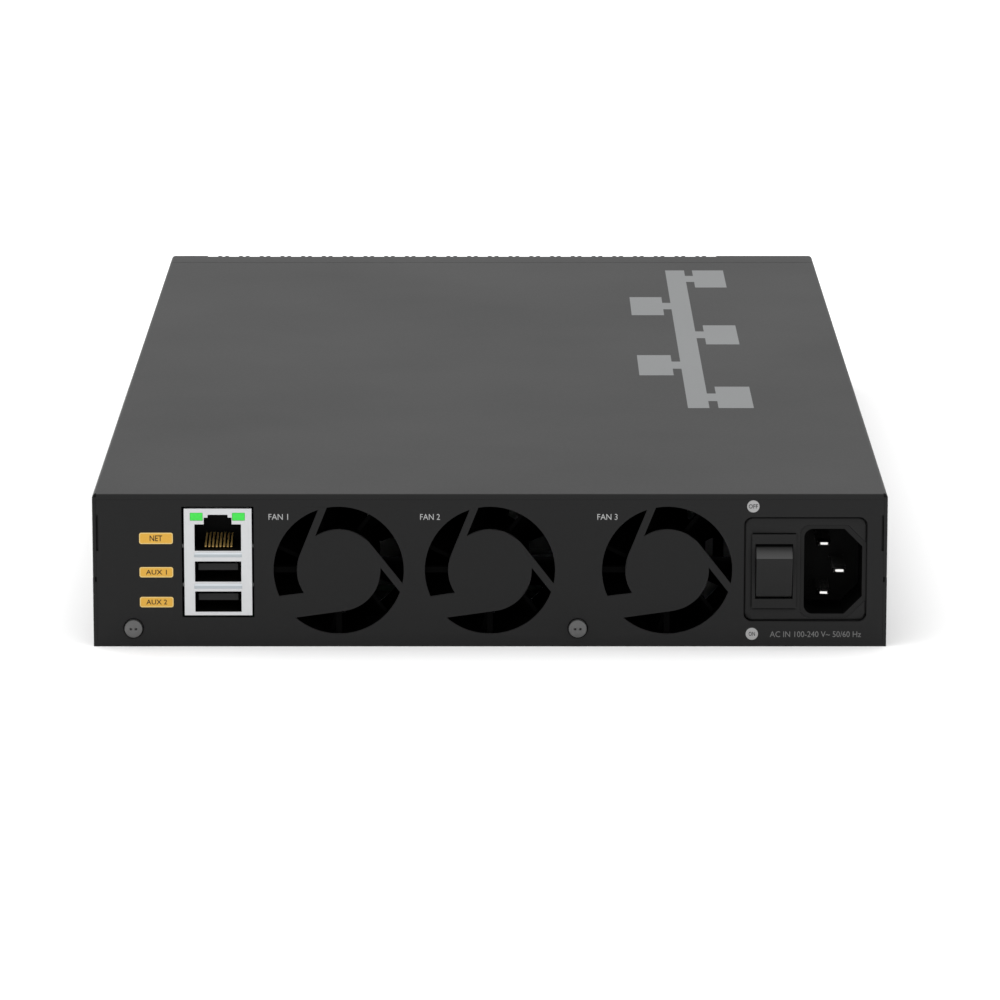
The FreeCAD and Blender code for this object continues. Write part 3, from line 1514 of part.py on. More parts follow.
def mgmt_insulator():
    """Black moulding with the three cavities, and the tongue of each lower socket."""
    body = new_body("stack_block")
    gap = "(mgmt_shell + 0.05)"
    block = rectangle("mgmt_left + " + gap, "mgmt_low + 0.05", "mgmt_right - " + gap, "mgmt_high - " + gap)
    pad(body, "y", MGMT_FACE + " + " + gap, MGMT_BACK + " - " + gap, [block])
    pocket(body, "y", MGMT_FACE, MGMT_FACE + " + jack_deep", [jack_outline("mgmt_jack_x", "mgmt_jack_z")])
    sockets = [usb_outline("usb_upper_z"), usb_outline("usb_lower_z")]
    pocket(body, "y", MGMT_FACE, MGMT_FACE + " + usb_deep", sockets)
    pocket(body, "y", MGMT_FACE, MGMT_FACE + " + 2.1", lamp_outlines("0"))
    tongues = [
        rectangle("mgmt_jack_x - 5.5", low + " + 3.1", "mgmt_jack_x + 5.5", low + " + 4.95")
        for low in ("usb_upper_z", "usb_lower_z")
    ]
    pad(body, "y", MGMT_FACE + " + 1.2", MGMT_FACE + " + usb_deep + 0.5", tongues)
    return node("mgmt_insulator", body)


def mgmt_contacts():
    """Gold wires of the jack and the four pads under each tongue."""
    wires = jack_contacts("stack_wire", "mgmt_jack_x", "mgmt_jack_z", 1, MGMT_FACE + " + 3.5", 1)
    for low in ("usb_upper_z", "usb_lower_z"):
        for index in range(4):
            left = "mgmt_jack_x + %s - 0.5" % (2.3 * (index - 1.5))
            pad_box = box(
                "usb_pad",
                (left, left + " + 1"),
                (MGMT_FACE + " + 2.4", MGMT_FACE + " + 9"),
                (low + " + 2.88", low + " + 3.08"),
            )
            wires.append(pad_box)
    return node("mgmt_contacts", group("stack_wire_set", wires))


def mgmt_lenses():
    """Two clear windows over the lamps."""
    body_pieces = []
    for left in LENS_LEFTS:
        body_pieces.append(box(
            "lens",
            (left + " + 0.05", left + " + lens_wide - 0.05"),
            (MGMT_FACE + " + 0.05", MGMT_FACE + " + 2"),
            ("lens_low + 0.05", "lens_high - 0.05"),
        ))
    return node("mgmt_lenses", group("lens_set", body_pieces))


# ---------------------------------------------------------------- the whole switch

def build():
    fill_sheet()
    chassis_tray()
    rear_panel()
    top_cover()
    front_bezel()
    front_plate()
    lid_screws()
    rear_screws()
    nut_inserts()
    board_standoffs()
    for name in FAN_NAMES:
        fan_frame(name)
        fan_impeller(name)
        fan_yoke(name)
    fan_stators()
    fan_bracket()
    fan_screws()
    fan_leads()
    power_entry_plate()
    inlet_housing()
    inlet_pins()
    switch_housing()
    switch_rocker()
    switch_terminals()
    mains_leads()
    supply_cage()
    supply_board()
    supply_transformer()
    supply_capacitors()
    supply_heatsinks()
    supply_choke()
    supply_leads()
    main_board()
    board_chips()
    main_heatsink()
    processor_heatsink()
    heatsink_pins()
    power_inductors()
    board_capacitors()
    board_headers()
    board_screws()
    rj45_shield()
    rj45_insulator()
    rj45_contacts()
    sfp_cage()
    sfp_connectors()
    light_pipes()
    console_port()
    tact_switches()
    reset_button()
    mode_button()
    mgmt_shield()
    mgmt_insulator()
    mgmt_contacts()
    mgmt_lenses()
    doc.recompute()


def check():
    """Nothing is written while any object has failed or any sub-part is empty or broken."""
    failed = [o.Name for o in doc.Objects if "Invalid" in o.State or "Error" in o.State]
    for piece in nodes:
        if piece.Shape.isNull() or not piece.Shape.isValid():
            failed.append(piece.Label)
    if failed:
        raise RuntimeError("failed: " + ", ".join(failed))


def write():
    os.makedirs("parts", exist_ok=True)
    for piece in nodes:
        piece.Shape.exportStep("parts/%s.step" % piece.Label)
        extent = piece.Shape.BoundBox
        sizes = (extent.XLength, extent.YLength, extent.ZLength)
        print("%-22s %3d solids  %.1f x %.1f x %.1f" % ((piece.Label, len(piece.Shape.Solids)) + sizes))


build()
check()
write()
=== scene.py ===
"""Half-width 1U rackmount network switch in a pale studio.

Painted steel casing, rear panel with its three fans and power inlet, port side, and insides.
"""
import json
import math

import bmesh
import bpy
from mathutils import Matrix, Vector

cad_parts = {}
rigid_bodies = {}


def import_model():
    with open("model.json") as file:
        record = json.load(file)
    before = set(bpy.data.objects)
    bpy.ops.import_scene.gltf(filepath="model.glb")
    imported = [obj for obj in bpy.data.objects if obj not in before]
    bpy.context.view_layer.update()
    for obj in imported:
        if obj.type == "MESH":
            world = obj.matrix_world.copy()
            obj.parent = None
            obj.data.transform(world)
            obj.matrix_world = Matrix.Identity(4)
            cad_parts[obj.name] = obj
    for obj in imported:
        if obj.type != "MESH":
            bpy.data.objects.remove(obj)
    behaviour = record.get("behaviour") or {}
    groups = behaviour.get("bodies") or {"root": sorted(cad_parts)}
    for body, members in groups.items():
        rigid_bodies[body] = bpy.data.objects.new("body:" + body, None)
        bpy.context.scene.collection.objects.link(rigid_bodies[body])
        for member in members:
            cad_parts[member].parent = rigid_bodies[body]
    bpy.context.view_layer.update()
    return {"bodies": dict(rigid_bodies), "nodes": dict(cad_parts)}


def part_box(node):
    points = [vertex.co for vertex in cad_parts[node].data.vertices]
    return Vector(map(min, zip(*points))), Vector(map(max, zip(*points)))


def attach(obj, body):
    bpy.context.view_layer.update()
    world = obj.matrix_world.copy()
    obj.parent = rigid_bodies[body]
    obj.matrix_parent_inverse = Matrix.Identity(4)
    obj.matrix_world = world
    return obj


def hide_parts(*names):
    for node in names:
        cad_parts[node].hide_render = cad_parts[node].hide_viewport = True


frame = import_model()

MM = 0.001


# ------------------------------------------------------------------ studio
# A plain pale floor under a white sky, with one large light overhead and a weaker one beyond the
# far left. The camera looks down a little on the rear panel through a long lens.

def in_scene(name, data):
    """A new object of this name in the scene, holding the data."""
    made = bpy.data.objects.new(name, data)
    bpy.context.collection.objects.link(made)
    return made


def lens_camera(place, tilt, focal):
    """The camera looks along +Y, tilted down by this many degrees."""
    data = bpy.data.cameras.new("studio_camera")
    data.lens = focal
    data.sensor_width = 36
    data.clip_end = 100
    camera = in_scene("studio_camera", data)
    camera.location = place
    camera.rotation_euler = (math.radians(90 - tilt), 0, 0)
    bpy.context.scene.camera = camera


def soft_panel(name, place, aim, size, power):
    data = bpy.data.lights.new(name, "AREA")
    data.shape = "RECTANGLE"
    data.size, data.size_y = size
    data.energy = power
    panel = in_scene(name, data)
    panel.location = place
    panel.rotation_euler = (Vector(aim) - Vector(place)).to_track_quat("-Z", "Y").to_euler()


def pale_room():
    world = bpy.data.worlds.new("pale_room")
    world.use_nodes = True
    sky = world.node_tree.nodes["Background"]
    sky.inputs["Color"].default_value = (1, 1, 1, 1)
    sky.inputs["Strength"].default_value = 1.0
    bpy.context.scene.world = world
    bpy.context.scene.view_settings.view_transform = "Standard"


def pale_floor():
    mesh = bpy.data.meshes.new("floor")
    reach = 12
    corners = [(-reach, -reach, 0), (reach, -reach, 0), (reach, reach, 0), (-reach, reach, 0)]
    mesh.from_pydata(corners, [], [(0, 1, 2, 3)])
    floor = in_scene("floor", mesh)
    paint = bpy.data.materials.new("floor_paint")
    paint.use_nodes = True
    look = {
        "Base Color": (0.96, 0.96, 0.96, 1),
        "Roughness": 0.9,
        "Specular IOR Level": 0.1,
        "Emission Color": (1, 1, 1, 1),
        "Emission Strength": 0.06,
    }
    for socket, value in look.items():
        paint.node_tree.nodes["Principled BSDF"].inputs[socket].default_value = value
    mesh.materials.append(paint)


lens_camera(place=(0.00279, -1.7635, 0.3704), tilt=11.878, focal=208.2)
pale_room()
pale_floor()
soft_panel("overhead", place=(-0.4, -0.2, 2.4), aim=(0, -0.2, 0), size=(3.0, 3.0), power=30)
soft_panel("far_left", place=(-2.2, 2.2, 0.8), aim=(-0.1, 0, 0), size=(1.8, 1.2), power=12)


# ------------------------------------------------------------------ steel casing
# Tray, rear panel, lid, bezel and face sheet are bent and punched steel, 1 to 1.5 mm thick, with
# softly broken edges, all sprayed with one dark powder coat that cures to a fine orange peel.

class Wire:
    """A socket of a material's nodes; sums and comparisons on it add Math nodes."""

    def __init__(self, finish, socket):
        self.finish = finish
        self.socket = socket

    def math(self, operation, *others, swap=False):
        values = [self, *others]
        if swap:
            values.reverse()
        return self.finish.node("Math", {"operation": operation}, dict(enumerate(values)))

    def __add__(self, other):
        return self.math("ADD", other)

    def __sub__(self, other):
        return self.math("SUBTRACT", other)

    def __mul__(self, other):
        return self.math("MULTIPLY", other)

    def __truediv__(self, other):
        return self.math("DIVIDE", other)

    def __gt__(self, other):
        return self.math("GREATER_THAN", other)

    def __lt__(self, other):
        return self.math("LESS_THAN", other)

    def __rsub__(self, other):
        return self.math("SUBTRACT", other, swap=True)

    __radd__ = __add__


class Finish:
    """One material: its shader, and the nodes that feed it."""

    def __init__(self, name, settings):
        self.material = bpy.data.materials.new(name)
        self.material.use_nodes = True
        self.tree = self.material.node_tree
        self.shader = self.tree.nodes["Principled BSDF"]
        for socket, value in settings.items():
            self.shader.inputs[socket].default_value = value
        self.place = self.node("TexCoord", output="Object")

    def feed(self, socket, value):
        if isinstance(value, Wire):
            self.tree.links.new(value.socket, socket)
        else:
            socket.default_value = value

    def node(self, kind, settings=None, inputs=None, output=0):
        made = self.tree.nodes.new("ShaderNode" + kind)
        for name, value in (settings or {}).items():
            setattr(made, name, value)
        for name, value in (inputs or {}).items():
            self.feed(made.inputs[name], value)
        return Wire(self, made.outputs[output])

    def noise(self, size, detail=2.0, rough=0.5, place=None):
        """Cloudy pattern from 0 to 1 with features of about this size in metres."""
        inputs = {"Vector": place or self.place, "Scale": 1 / size}
        inputs.update({"Detail": detail, "Roughness": rough})
        return self.node("TexNoise", None, inputs)

    def mix(self, mask, low, high):
        """The colour low where the mask is 0 and high where it is 1."""
        factor, low_colour, high_colour, result = 0, 6, 7, 2
        inputs = {factor: mask, low_colour: low, high_colour: high}
        return self.node("Mix", {"data_type": "RGBA"}, inputs, output=result)

    def put(self, socket, value):
        self.feed(self.shader.inputs[socket], value)

    def stretched(self, *scale):
        """Object coordinates scaled along X, Y and Z; a small scale draws a pattern out."""
        return self.node("Mapping", None, {"Vector": self.place, "Scale": scale})

    def bump(self, height, depth, strength):
        inputs = {"Height": height, "Distance": depth, "Strength": strength}
        self.put("Normal", self.node("Bump", None, inputs))

    def axes(self):
        split = self.tree.nodes.new("ShaderNodeSeparateXYZ")
        self.tree.links.new(self.place.socket, split.inputs[0])
        return [Wire(self, split.outputs[axis]) for axis in range(3)]


def shade(grey, tint=(1, 1, 1)):
    return (grey * tint[0], grey * tint[1], grey * tint[2], 1)


def powder_coat(name):
    coat = Finish(name, {"Specular IOR Level": 0.17})
    peel = coat.noise(0.0007, detail=3)
    cloud = coat.noise(0.06, detail=2)
    speck = coat.noise(0.00035, detail=1)
    tone = 0.75 + cloud * 0.2 + speck * 0.3
    coat.base = coat.mix(tone - 0.5, shade(0.0065), shade(0.0105, (0.99, 1, 1.02)))
    coat.put("Base Color", coat.base)
    coat.put("Roughness", 0.44 + cloud * 0.07 + peel * 0.06)
    coat.bump(peel, 0.00003, 0.35)
    return coat


def placed(name, form):
    """A new object in the scene that holds the form's mesh; the form itself is freed."""
    mesh = bpy.data.meshes.new(name)
    form.to_mesh(mesh)
    form.free()
    return in_scene(name, mesh)


def trimmed_copy(node, name, edge, material):
    """The node's mesh, joined up, with its edges broken by a small radius."""
    same_point = 2e-6
    bevelled_from = 30
    sharp_from = 42
    form = bmesh.new()
    form.from_mesh(frame["nodes"][node].data)
    bmesh.ops.remove_doubles(form, verts=form.verts, dist=same_point)
    piece = placed(name, form)
    if edge:
        bevel = piece.modifiers.new("edges", "BEVEL")
        bevel.width = edge
        bevel.segments = 2
        bevel.limit_method = "ANGLE"
        bevel.angle_limit = math.radians(bevelled_from)
        bevel.miter_outer = "MITER_ARC"
        made_plain(piece)
    smooth_over_flats(piece, sharp_from)
    dress(piece, material)
    return piece


def smooth_over_flats(piece, sharp_from=35):
    """Rounds shade smoothly, and each flat keeps its own direction right up to its edge."""
    for polygon in piece.data.polygons:
        polygon.use_smooth = True
    piece.data.set_sharp_from_angle(angle=math.radians(sharp_from))
    weights = piece.modifiers.new("flats", "WEIGHTED_NORMAL")
    weights.keep_sharp = True
    made_plain(piece)


def dress(piece, material):
    piece.data.materials.clear()
    piece.data.materials.append(material)


def made_plain(piece):
    """Turns the object's evaluated shape into its own mesh, with no modifier left."""
    shown = piece.evaluated_get(bpy.context.evaluated_depsgraph_get())
    mesh = bpy.data.meshes.new_from_object(shown)
    piece.modifiers.clear()
    piece.data = mesh


def rider(node):
    """The name of the body that a CAD node rides on."""
    holder = frame["nodes"][node].parent
    return next(name for name, body in frame["bodies"].items() if body is holder)


def stand_for(piece, slot, *nodes):
    """The finished piece takes the place of these CAD nodes and rides on their body."""
    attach(piece, rider(nodes[0]))
    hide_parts(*nodes)


def stand_in(node, name, edge, material, slot):
    """A trimmed copy of one CAD node stands for it; the edge radius is in millimetres."""
    stand_for(trimmed_copy(node, name, edge * MM, material), slot, node)


coat = powder_coat("powder_coat")
for node, edge in (("chassis_tray", 0.15), ("rear_panel", 0), ("front_plate", 0.15)):
    stand_in(node, node + "_shell", edge, coat.material, "painted_steel")
# Paint build closes the hairline seams above and below the rear panel.
panel_low, panel_high = (corner.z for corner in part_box("rear_panel"))
paint_build = 0.07 * MM
near = 0.01 * MM
for vert in bpy.data.objects["rear_panel_shell"].data.vertices:
    if vert.co.z > panel_high - near:
        vert.co.z += paint_build
    if vert.co.z < panel_low + near:
        vert.co.z -= paint_build
stand_in("front_bezel", "front_bezel_shell", 0.3, coat.material, "lid_paint")


# ------------------------------------------------------------------ lid and its printed sign
# The lid is one sheet bent down at both sides. A generic network sign is screen-printed on it in
# light grey ink: a bus bar with square nodes standing off it on stubs, running front to back.

def between(value, low, high):
    """1 where the value is inside the range, else 0."""
    return (value > low) * (value < high)


def network_sign(finish, left, right, near, far):
    """Mask of the sign between these limits: the bar, and five nodes on alternate sides of it."""
    x, y, z = finish.axes()
    middle = (left + right) / 2
    bar_half = 3.2 * MM
    node_wide = 10.5 * MM
    node_deep = 34 * MM
    stub_half = 6 * MM
    count = 5
    mask = between(x, middle - bar_half, middle + bar_half) * between(y, near, far)
    for index in range(count):
        centre = near + node_deep / 2 + index * (far - near - node_deep) / (count - 1)
        outer = left if index % 2 else right - node_wide
        block = between(x, outer, outer + node_wide)
        block = block * between(y, centre - node_deep / 2, centre + node_deep / 2)
        ends = sorted((outer + node_wide / 2, middle))
        stub = between(x, *ends) * between(y, centre - stub_half, centre + stub_half)
        mask = mask + block + stub
    printed_depth = 0.2 * MM
    top_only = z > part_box("top_cover")[1].z - printed_depth
    return (mask > 0.5) * top_only


lid_coat = powder_coat("lid_coat")
sign = network_sign(lid_coat, left=45.5 * MM, right=78.3 * MM, near=-75 * MM, far=170 * MM)
ink_grain = lid_coat.noise(0.0004, detail=2)
ink_tint = (0.97, 1, 1.01)
ink_colour = lid_coat.mix(ink_grain, shade(0.17, ink_tint), shade(0.2, ink_tint))
lid_coat.put("Base Color", lid_coat.mix(sign, lid_coat.base, ink_colour))
stand_in("top_cover", "top_cover_shell", 0.12, lid_coat.material, "lid_paint")


# ------------------------------------------------------------------ screws and clinched nuts
# Pan heads on the rear panel and flush heads in the lid's flaps, all cold-headed with a cross
# recess, plated dull grey at the rear and black at the sides. The nuts are pressed into the sheet.

def stamping_tree():
    """Geometry Nodes that put a copy of one stock form at each point, turned as the point says."""
    tree = bpy.data.node_groups.new("stamping", "GeometryNodeTree")
    wanted = {
        "Places": "NodeSocketGeometry",
        "Stock": "NodeSocketObject",
        "Finish": "NodeSocketMaterial",
    }
    for name, kind in wanted.items():
        tree.interface.new_socket(name, in_out="INPUT", socket_type=kind)
    tree.interface.new_socket("Shape", in_out="OUTPUT", socket_type="NodeSocketGeometry")

    def add(kind, settings=None, **inputs):
        made = tree.nodes.new(kind)
        for name, value in (settings or {}).items():
            setattr(made, name, value)
        for name, value in inputs.items():
            socket = made.inputs[name]
            if isinstance(value, bpy.types.NodeSocket):
                tree.links.new(value, socket)
            else:
                socket.default_value = value
        return made

    given = add("NodeGroupInput").outputs
    points = add("GeometryNodeMeshToPoints", Mesh=given["Places"]).outputs[0]
    stock = add("GeometryNodeObjectInfo", Object=given["Stock"]).outputs["Geometry"]
    vector = {"data_type": "FLOAT_VECTOR"}
    turn = add("GeometryNodeInputNamedAttribute", vector, Name="turn").outputs[0]
    stamped = add(
        "GeometryNodeInstanceOnPoints", Points=points, Instance=stock, Rotation=turn
    ).outputs[0]
    whole = add("GeometryNodeRealizeInstances", Geometry=stamped).outputs[0]
    finished = add("GeometryNodeSetMaterial", Geometry=whole, Material=given["Finish"]).outputs[0]
    tree.links.new(finished, add("NodeGroupOutput").inputs["Shape"])
    return tree


stamping = stamping_tree()


def stamp(name, stock, places, material):
    """One plain mesh of the stock form at each (place, turn); the stock itself is used up."""
    points = bpy.data.meshes.new(name)
    points.from_pydata([place for place, turn in places], [], [])
    turns = points.attributes.new("turn", "FLOAT_VECTOR", "POINT")
    for item, (place, turn) in zip(turns.data, places):
        item.vector = turn
    piece = in_scene(name, points)
    nodes = piece.modifiers.new("stamping", "NODES")
    nodes.node_group = stamping
    inputs = {item.name: item.identifier for item in stamping.interface.items_tree}
    nodes[inputs["Stock"]] = stock
    nodes[inputs["Finish"]] = material
    made_plain(piece)
    bpy.data.objects.remove(stock)
    return piece


def turned(name, profile):
    """Solid of revolution about Z from (radius, height) points that start and end on the axis."""
    steps = 32
    form = bmesh.new()
    rings = []
    for radius, height in profile:
        count = steps if radius else 1
        ring = []
        for step in range(count):
            turn = math.tau * step / count
            point = (radius * math.cos(turn), radius * math.sin(turn), height)
            ring.append(form.verts.new(point))
        rings.append(ring)
    for low, high in zip(rings, rings[1:]):
        for step in range(steps):
            after = (step + 1) % steps
            corners = [low[step % len(low)], low[after % len(low)]]
            corners += [high[after % len(high)], high[step % len(high)]]
            form.faces.new(list(dict.fromkeys(corners)))
    bmesh.ops.recalc_face_normals(form, faces=form.faces)
    return placed(name, form)


def cross_recess(piece, top, reach, deep):
    """Sinks a tapered cross into the top of a screw head."""
    arm_width = 0.24
    foot_reach = 0.45
    clear = 0.2 * MM
    form = bmesh.new()
    for quarter in (0, 1):
        made = bmesh.ops.create_cube(form, size=2)["verts"]
        for vert in made:
            at_top = vert.co.z > 0
            along = vert.co.x * reach * (1 if at_top else foot_reach)
            across = vert.co.y * reach * arm_width
            height = top + (clear if at_top else -deep)
            vert.co = (across, along, height) if quarter else (along, across, height)
    bmesh.ops.recalc_face_normals(form, faces=form.faces)
    tool = placed("recess", form)
    sink = piece.modifiers.new("recess", "BOOLEAN")
    sink.object = tool
    sink.operation = "DIFFERENCE"
    sink.solver = "EXACT"
    sink.use_self = True
    made_plain(piece)
    bpy.data.objects.remove(tool)
    smooth_over_flats(piece)


shank_radius = 1.2 * MM
thread_pitch = 0.5 * MM


def threaded(start, end):
    """Profile of a shank with thread ridges between two heights."""
    root = shank_radius * 0.86
    points = []
    count = int((end - start) / thread_pitch)
    for turn in range(count):
        low = start + turn * thread_pitch
        points += [(root, low), (shank_radius, low + thread_pitch / 2)]
    return points + [(root, start + count * thread_pitch)]


def plated(name, grey, rough, tint=(1, 1, 1)):
    """Plated steel with faint draw lines and dull patches."""
    metal = Finish(name, {"Metallic": 1.0})
    lines = metal.noise(0.0005, detail=4, place=metal.stretched(1, 1, 0.07))
    cloud = metal.noise(0.004)
    dull = shade(grey * 0.88, tint)
    bright = shade(min(1, grey * 1.1), tint)
    metal.put("Base Color", metal.mix(cloud, dull, bright))
    metal.put("Roughness", rough - 0.07 + lines * 0.14)
    metal.bump(lines, 0.000008, 0.3)
    return metal.material


def pan_head(radius, high, shank):
    """A domed head whose underside sits in the panel's shallow counterbore."""
    under = -0.34 * MM
    relief = 0.2 * MM
    rounding = 0.12 * MM
    profile = [(0, -shank)] + threaded(-shank, under - relief)
    profile += [(shank_radius, under), (radius * 0.98, under), (radius, under + rounding)]
    dome = ((1, 0.45), (0.93, 0.78), (0.72, 0.94), (0.4, 1), (0, 1))
    profile += [(radius * across, high * up) for across, up in dome]
    head = turned("pan_head", profile)
    cross_recess(head, high, reach=radius * 0.5, deep=0.5 * MM)
    return head


def flush_head(radius, sheet, shank):
    """A countersunk head, level with the outside of the sheet."""
    relief = 0.1 * MM
    rim = radius - 0.1 * MM
    profile = [(0, -shank)] + threaded(-shank, -relief)
    profile += [(shank_radius, 0), (rim, sheet - 0.12 * MM), (rim, sheet - 0.04 * MM)]
    profile += [(radius - 0.2 * MM, sheet), (0, sheet)]
    head = turned("flush_head", profile)
    cross_recess(head, sheet, reach=radius * 0.5, deep=0.7 * MM)
    return head


wall = 1.0 * MM
panel_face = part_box("rear_panel")[0].y
head_radius = 2.6 * MM
low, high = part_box("rear_panel_screws")
to_rear = (math.radians(90), 0, 0)
places = []
for x in (low.x + head_radius, high.x - head_radius):
    places.append(((x, panel_face, low.z + head_radius), to_rear))
stock = pan_head(head_radius, high=panel_face - low.y, shank=5 * MM)
dull_zinc = plated("dull_zinc", 0.13, 0.5)
stand_for(stamp("panel_screws", stock, places, dull_zinc), "panel_screw", "rear_panel_screws")

low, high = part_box("cover_screws")
middle = (low.y + high.y) / 2
row = (low.z + high.z) / 2
to_left = (0, math.radians(-90), 0)
to_right = (0, math.radians(90), 0)
places = []
for y in (low.y + head_radius, middle, high.y - head_radius):
    places.append(((low.x + wall, y, row), to_left))
    places.append(((high.x - wall, y, row), to_right))
stock = flush_head(head_radius, sheet=wall, shank=3.5 * MM)
black_zinc = plated("black_zinc", 0.05, 0.42)
stand_for(stamp("lid_screws", stock, places, black_zinc), "black_screw", "cover_screws")

bright_zinc = plated("bright_zinc", 0.62, 0.3, (0.98, 1, 1.03))
stand_in("nut_inserts", "clinched_nuts", 0.12, bright_zinc, "zinc_nut")


# ------------------------------------------------------------------ rear lettering and labels
# Small light grey screen print beside the openings, two round switch badges and three amber port
# labels. Each is a film a few hundredths of a millimetre thick, bonded to the panel.

film_thick = 0.03 * MM


def film(name, outline, face, material):
    """A thin plate on a face that looks towards -Y, outlined in X and Z."""
    form = bmesh.new()
    back = [form.verts.new((x, face, z)) for x, z in outline]
    front = [form.verts.new((x, face - film_thick, z)) for x, z in outline]
    form.faces.new(front)
    form.faces.new(back[::-1])
    count = len(outline)
    for here in range(count):
        after = (here + 1) % count
        form.faces.new((back[here], back[after], front[after], front[here]))
    bmesh.ops.recalc_face_normals(form, faces=form.faces)
    piece = placed(name, form)
    dress(piece, material)
    return piece


def oblong(left, low, right, high, radius):
    """Outline of a rectangle with round corners."""
    arc_steps = 5
    points = []
    corners = ((right, low, -1), (right, high, 0), (left, high, 1), (left, low, 2))
    for x, z, quarter in corners:
        centre_x = x - radius if x == right else x + radius
        centre_z = z - radius if z == high else z + radius
        for step in range(arc_steps + 1):
            turn = math.radians(90 * (quarter + step / arc_steps))
            x_there = centre_x + radius * math.cos(turn)
            z_there = centre_z + radius * math.sin(turn)
            points.append((x_there, z_there))
    return points


def screen_ink(name, grey, tint=(1, 1, 1)):
    ink = Finish(name, {"Specular IOR Level": 0.25})
    grain = ink.noise(0.0003, detail=2)
    ink.put("Base Color", ink.mix(grain, shade(grey * 0.85, tint), shade(grey * 1.1, tint)))
    ink.put("Roughness", 0.45 + grain * 0.12)
    ink.bump(grain, 0.000004, 0.3)
    return ink.material


def lettering(name, words, left, right, low, high, face, material, weight=0.0):
    """Words set between these limits on a face that looks towards -Y; weight fattens them."""
    thick = 0.02 * MM
    data = bpy.data.curves.new(name, "FONT")
    data.body = words
    data.extrude = 0.5
    data.offset = weight
    data.resolution_u = 3
    words_set = in_scene(name, data)
    shown = words_set.evaluated_get(bpy.context.evaluated_depsgraph_get())
    mesh = bpy.data.meshes.new_from_object(shown)
    bpy.data.objects.remove(words_set)
    across = [vert.co.x for vert in mesh.vertices]
    tall = [vert.co.y for vert in mesh.vertices]
    scale_x = (right - left) / (max(across) - min(across))
    scale_z = (high - low) / (max(tall) - min(tall))
    for vert in mesh.vertices:
        x = left + (vert.co.x - min(across)) * scale_x
        z = low + (vert.co.y - min(tall)) * scale_z
        vert.co = (x, face - thick * (0.5 + vert.co.z), z)
    piece = in_scene(name, mesh)
    dress(piece, material)
    return piece


panel_ink = screen_ink("panel_ink", 0.38)
rating_ink = screen_ink("rating_ink", 0.14)
chip_ink = screen_ink("chip_ink", 0.012, (1.6, 0.9, 0.4))
badge_ink = screen_ink("badge_ink", 0.02)
for number, left, right in ((1, -61.2, -55.8), (2, -19.3, -13.8), (3, 29.7, 35.3)):
    words = "FAN %d" % number
    limits = (left * MM, right * MM, 35.95 * MM, 37.6 * MM)
    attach(lettering("fan_lettering_%d" % number, words, *limits, panel_face, panel_ink), "root")
limits = (77.7 * MM, 103.0 * MM, 2.65 * MM, 4.3 * MM)
words = "AC IN 100-240 V~ 50/60 Hz"
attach(lettering("supply_lettering", words, *limits, panel_face, rating_ink), "root")


def amber_film():
    """Amber print with a fine grain."""
    amber = Finish("amber_film", {"Specular IOR Level": 0.3})
    grain = amber.noise(0.0004, detail=2)
    amber.put("Base Color", amber.mix(grain, (0.6, 0.32, 0.035, 1), (0.66, 0.37, 0.05, 1)))
    amber.put("Roughness", 0.4 + grain * 0.12)
    amber.bump(grain, 0.000005, 0.3)
    return amber.material


amber = amber_film()
amber_rim = screen_ink("amber_rim", 0.72, (1, 0.74, 0.28))

# Each port label is three films, one on another and each smaller. Sizes are in millimetres.
label_rows = ((28.97, 32.45, "NET"), (19.5, 22.72, "AUX 1"), (11.0, 14.26, "AUX 2"))
label_layers = (("dark", 0, chip_ink), ("rim", 0.16, amber_rim), ("fill", 0.42, amber))
left, right = -97.2, -87.58
middle = (left + right) / 2
label_corner = 0.75
half_letter = 0.58
words_above_edge, words_below_edge = 0.95, 0.9
for number, (low, high, words) in enumerate(label_rows, 1):
    for depth, (part, inset, ink) in enumerate(label_layers):
        limits = [v * MM for v in (left + inset, low + inset, right - inset, high - inset)]
        outline = oblong(*limits, (label_corner - inset) * MM)
        face = panel_face - depth * film_thick
        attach(film("port_label_%d_%s" % (number, part), outline, face, ink), "root")
    half = len(words) * half_letter
    limits = (middle - half, middle + half, low + words_above_edge, high - words_below_edge)
    limits = [v * MM for v in limits]
    face = panel_face - len(label_layers) * film_thick
    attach(lettering("port_lettering_%d" % number, words, *limits, face, chip_ink, 0.011), "root")


def disc_outline(x, z, radius):
    steps = 36
    turns = [math.tau * step / steps for step in range(steps)]
    return [(x + radius * math.cos(turn), z + radius * math.sin(turn)) for turn in turns]


badge_paint = screen_ink("badge_paint", 0.34)
badge_radius = 1.71
half_letter, half_tall = 0.43, 0.6
for name, words, x, z in (("off", "OFF", 72.8, 39.74), ("on", "ON", 72.7, 3.59)):
    outline = disc_outline(x * MM, z * MM, badge_radius * MM)
    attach(film("badge_" + name, outline, panel_face, badge_paint), "root")
    half = len(words) * half_letter
    limits = [v * MM for v in (x - half, x + half, z - half_tall, z + half_tall)]
    face = panel_face - film_thick
    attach(lettering("badge_lettering_" + name, words, *limits, face, badge_ink, 0.01), "root")


# ------------------------------------------------------------------ three fans behind the grilles
# Injection-moulded black frames and seven-bladed impellers. Each impeller is pressed over a steel
# rotor cup and spins round a wound stator. Four screws hold each frame to a galvanised bracket.

def eroded(plastic, rough, size=0.0004, swing=0.12, depth=0.00001):
    """The fine grain of a spark-eroded mould, in roughness from rough up by swing and in bump."""
    grain = plastic.noise(size, detail=3)
    plastic.put("Roughness", rough + grain * swing)
    plastic.bump(grain, depth, 0.4)


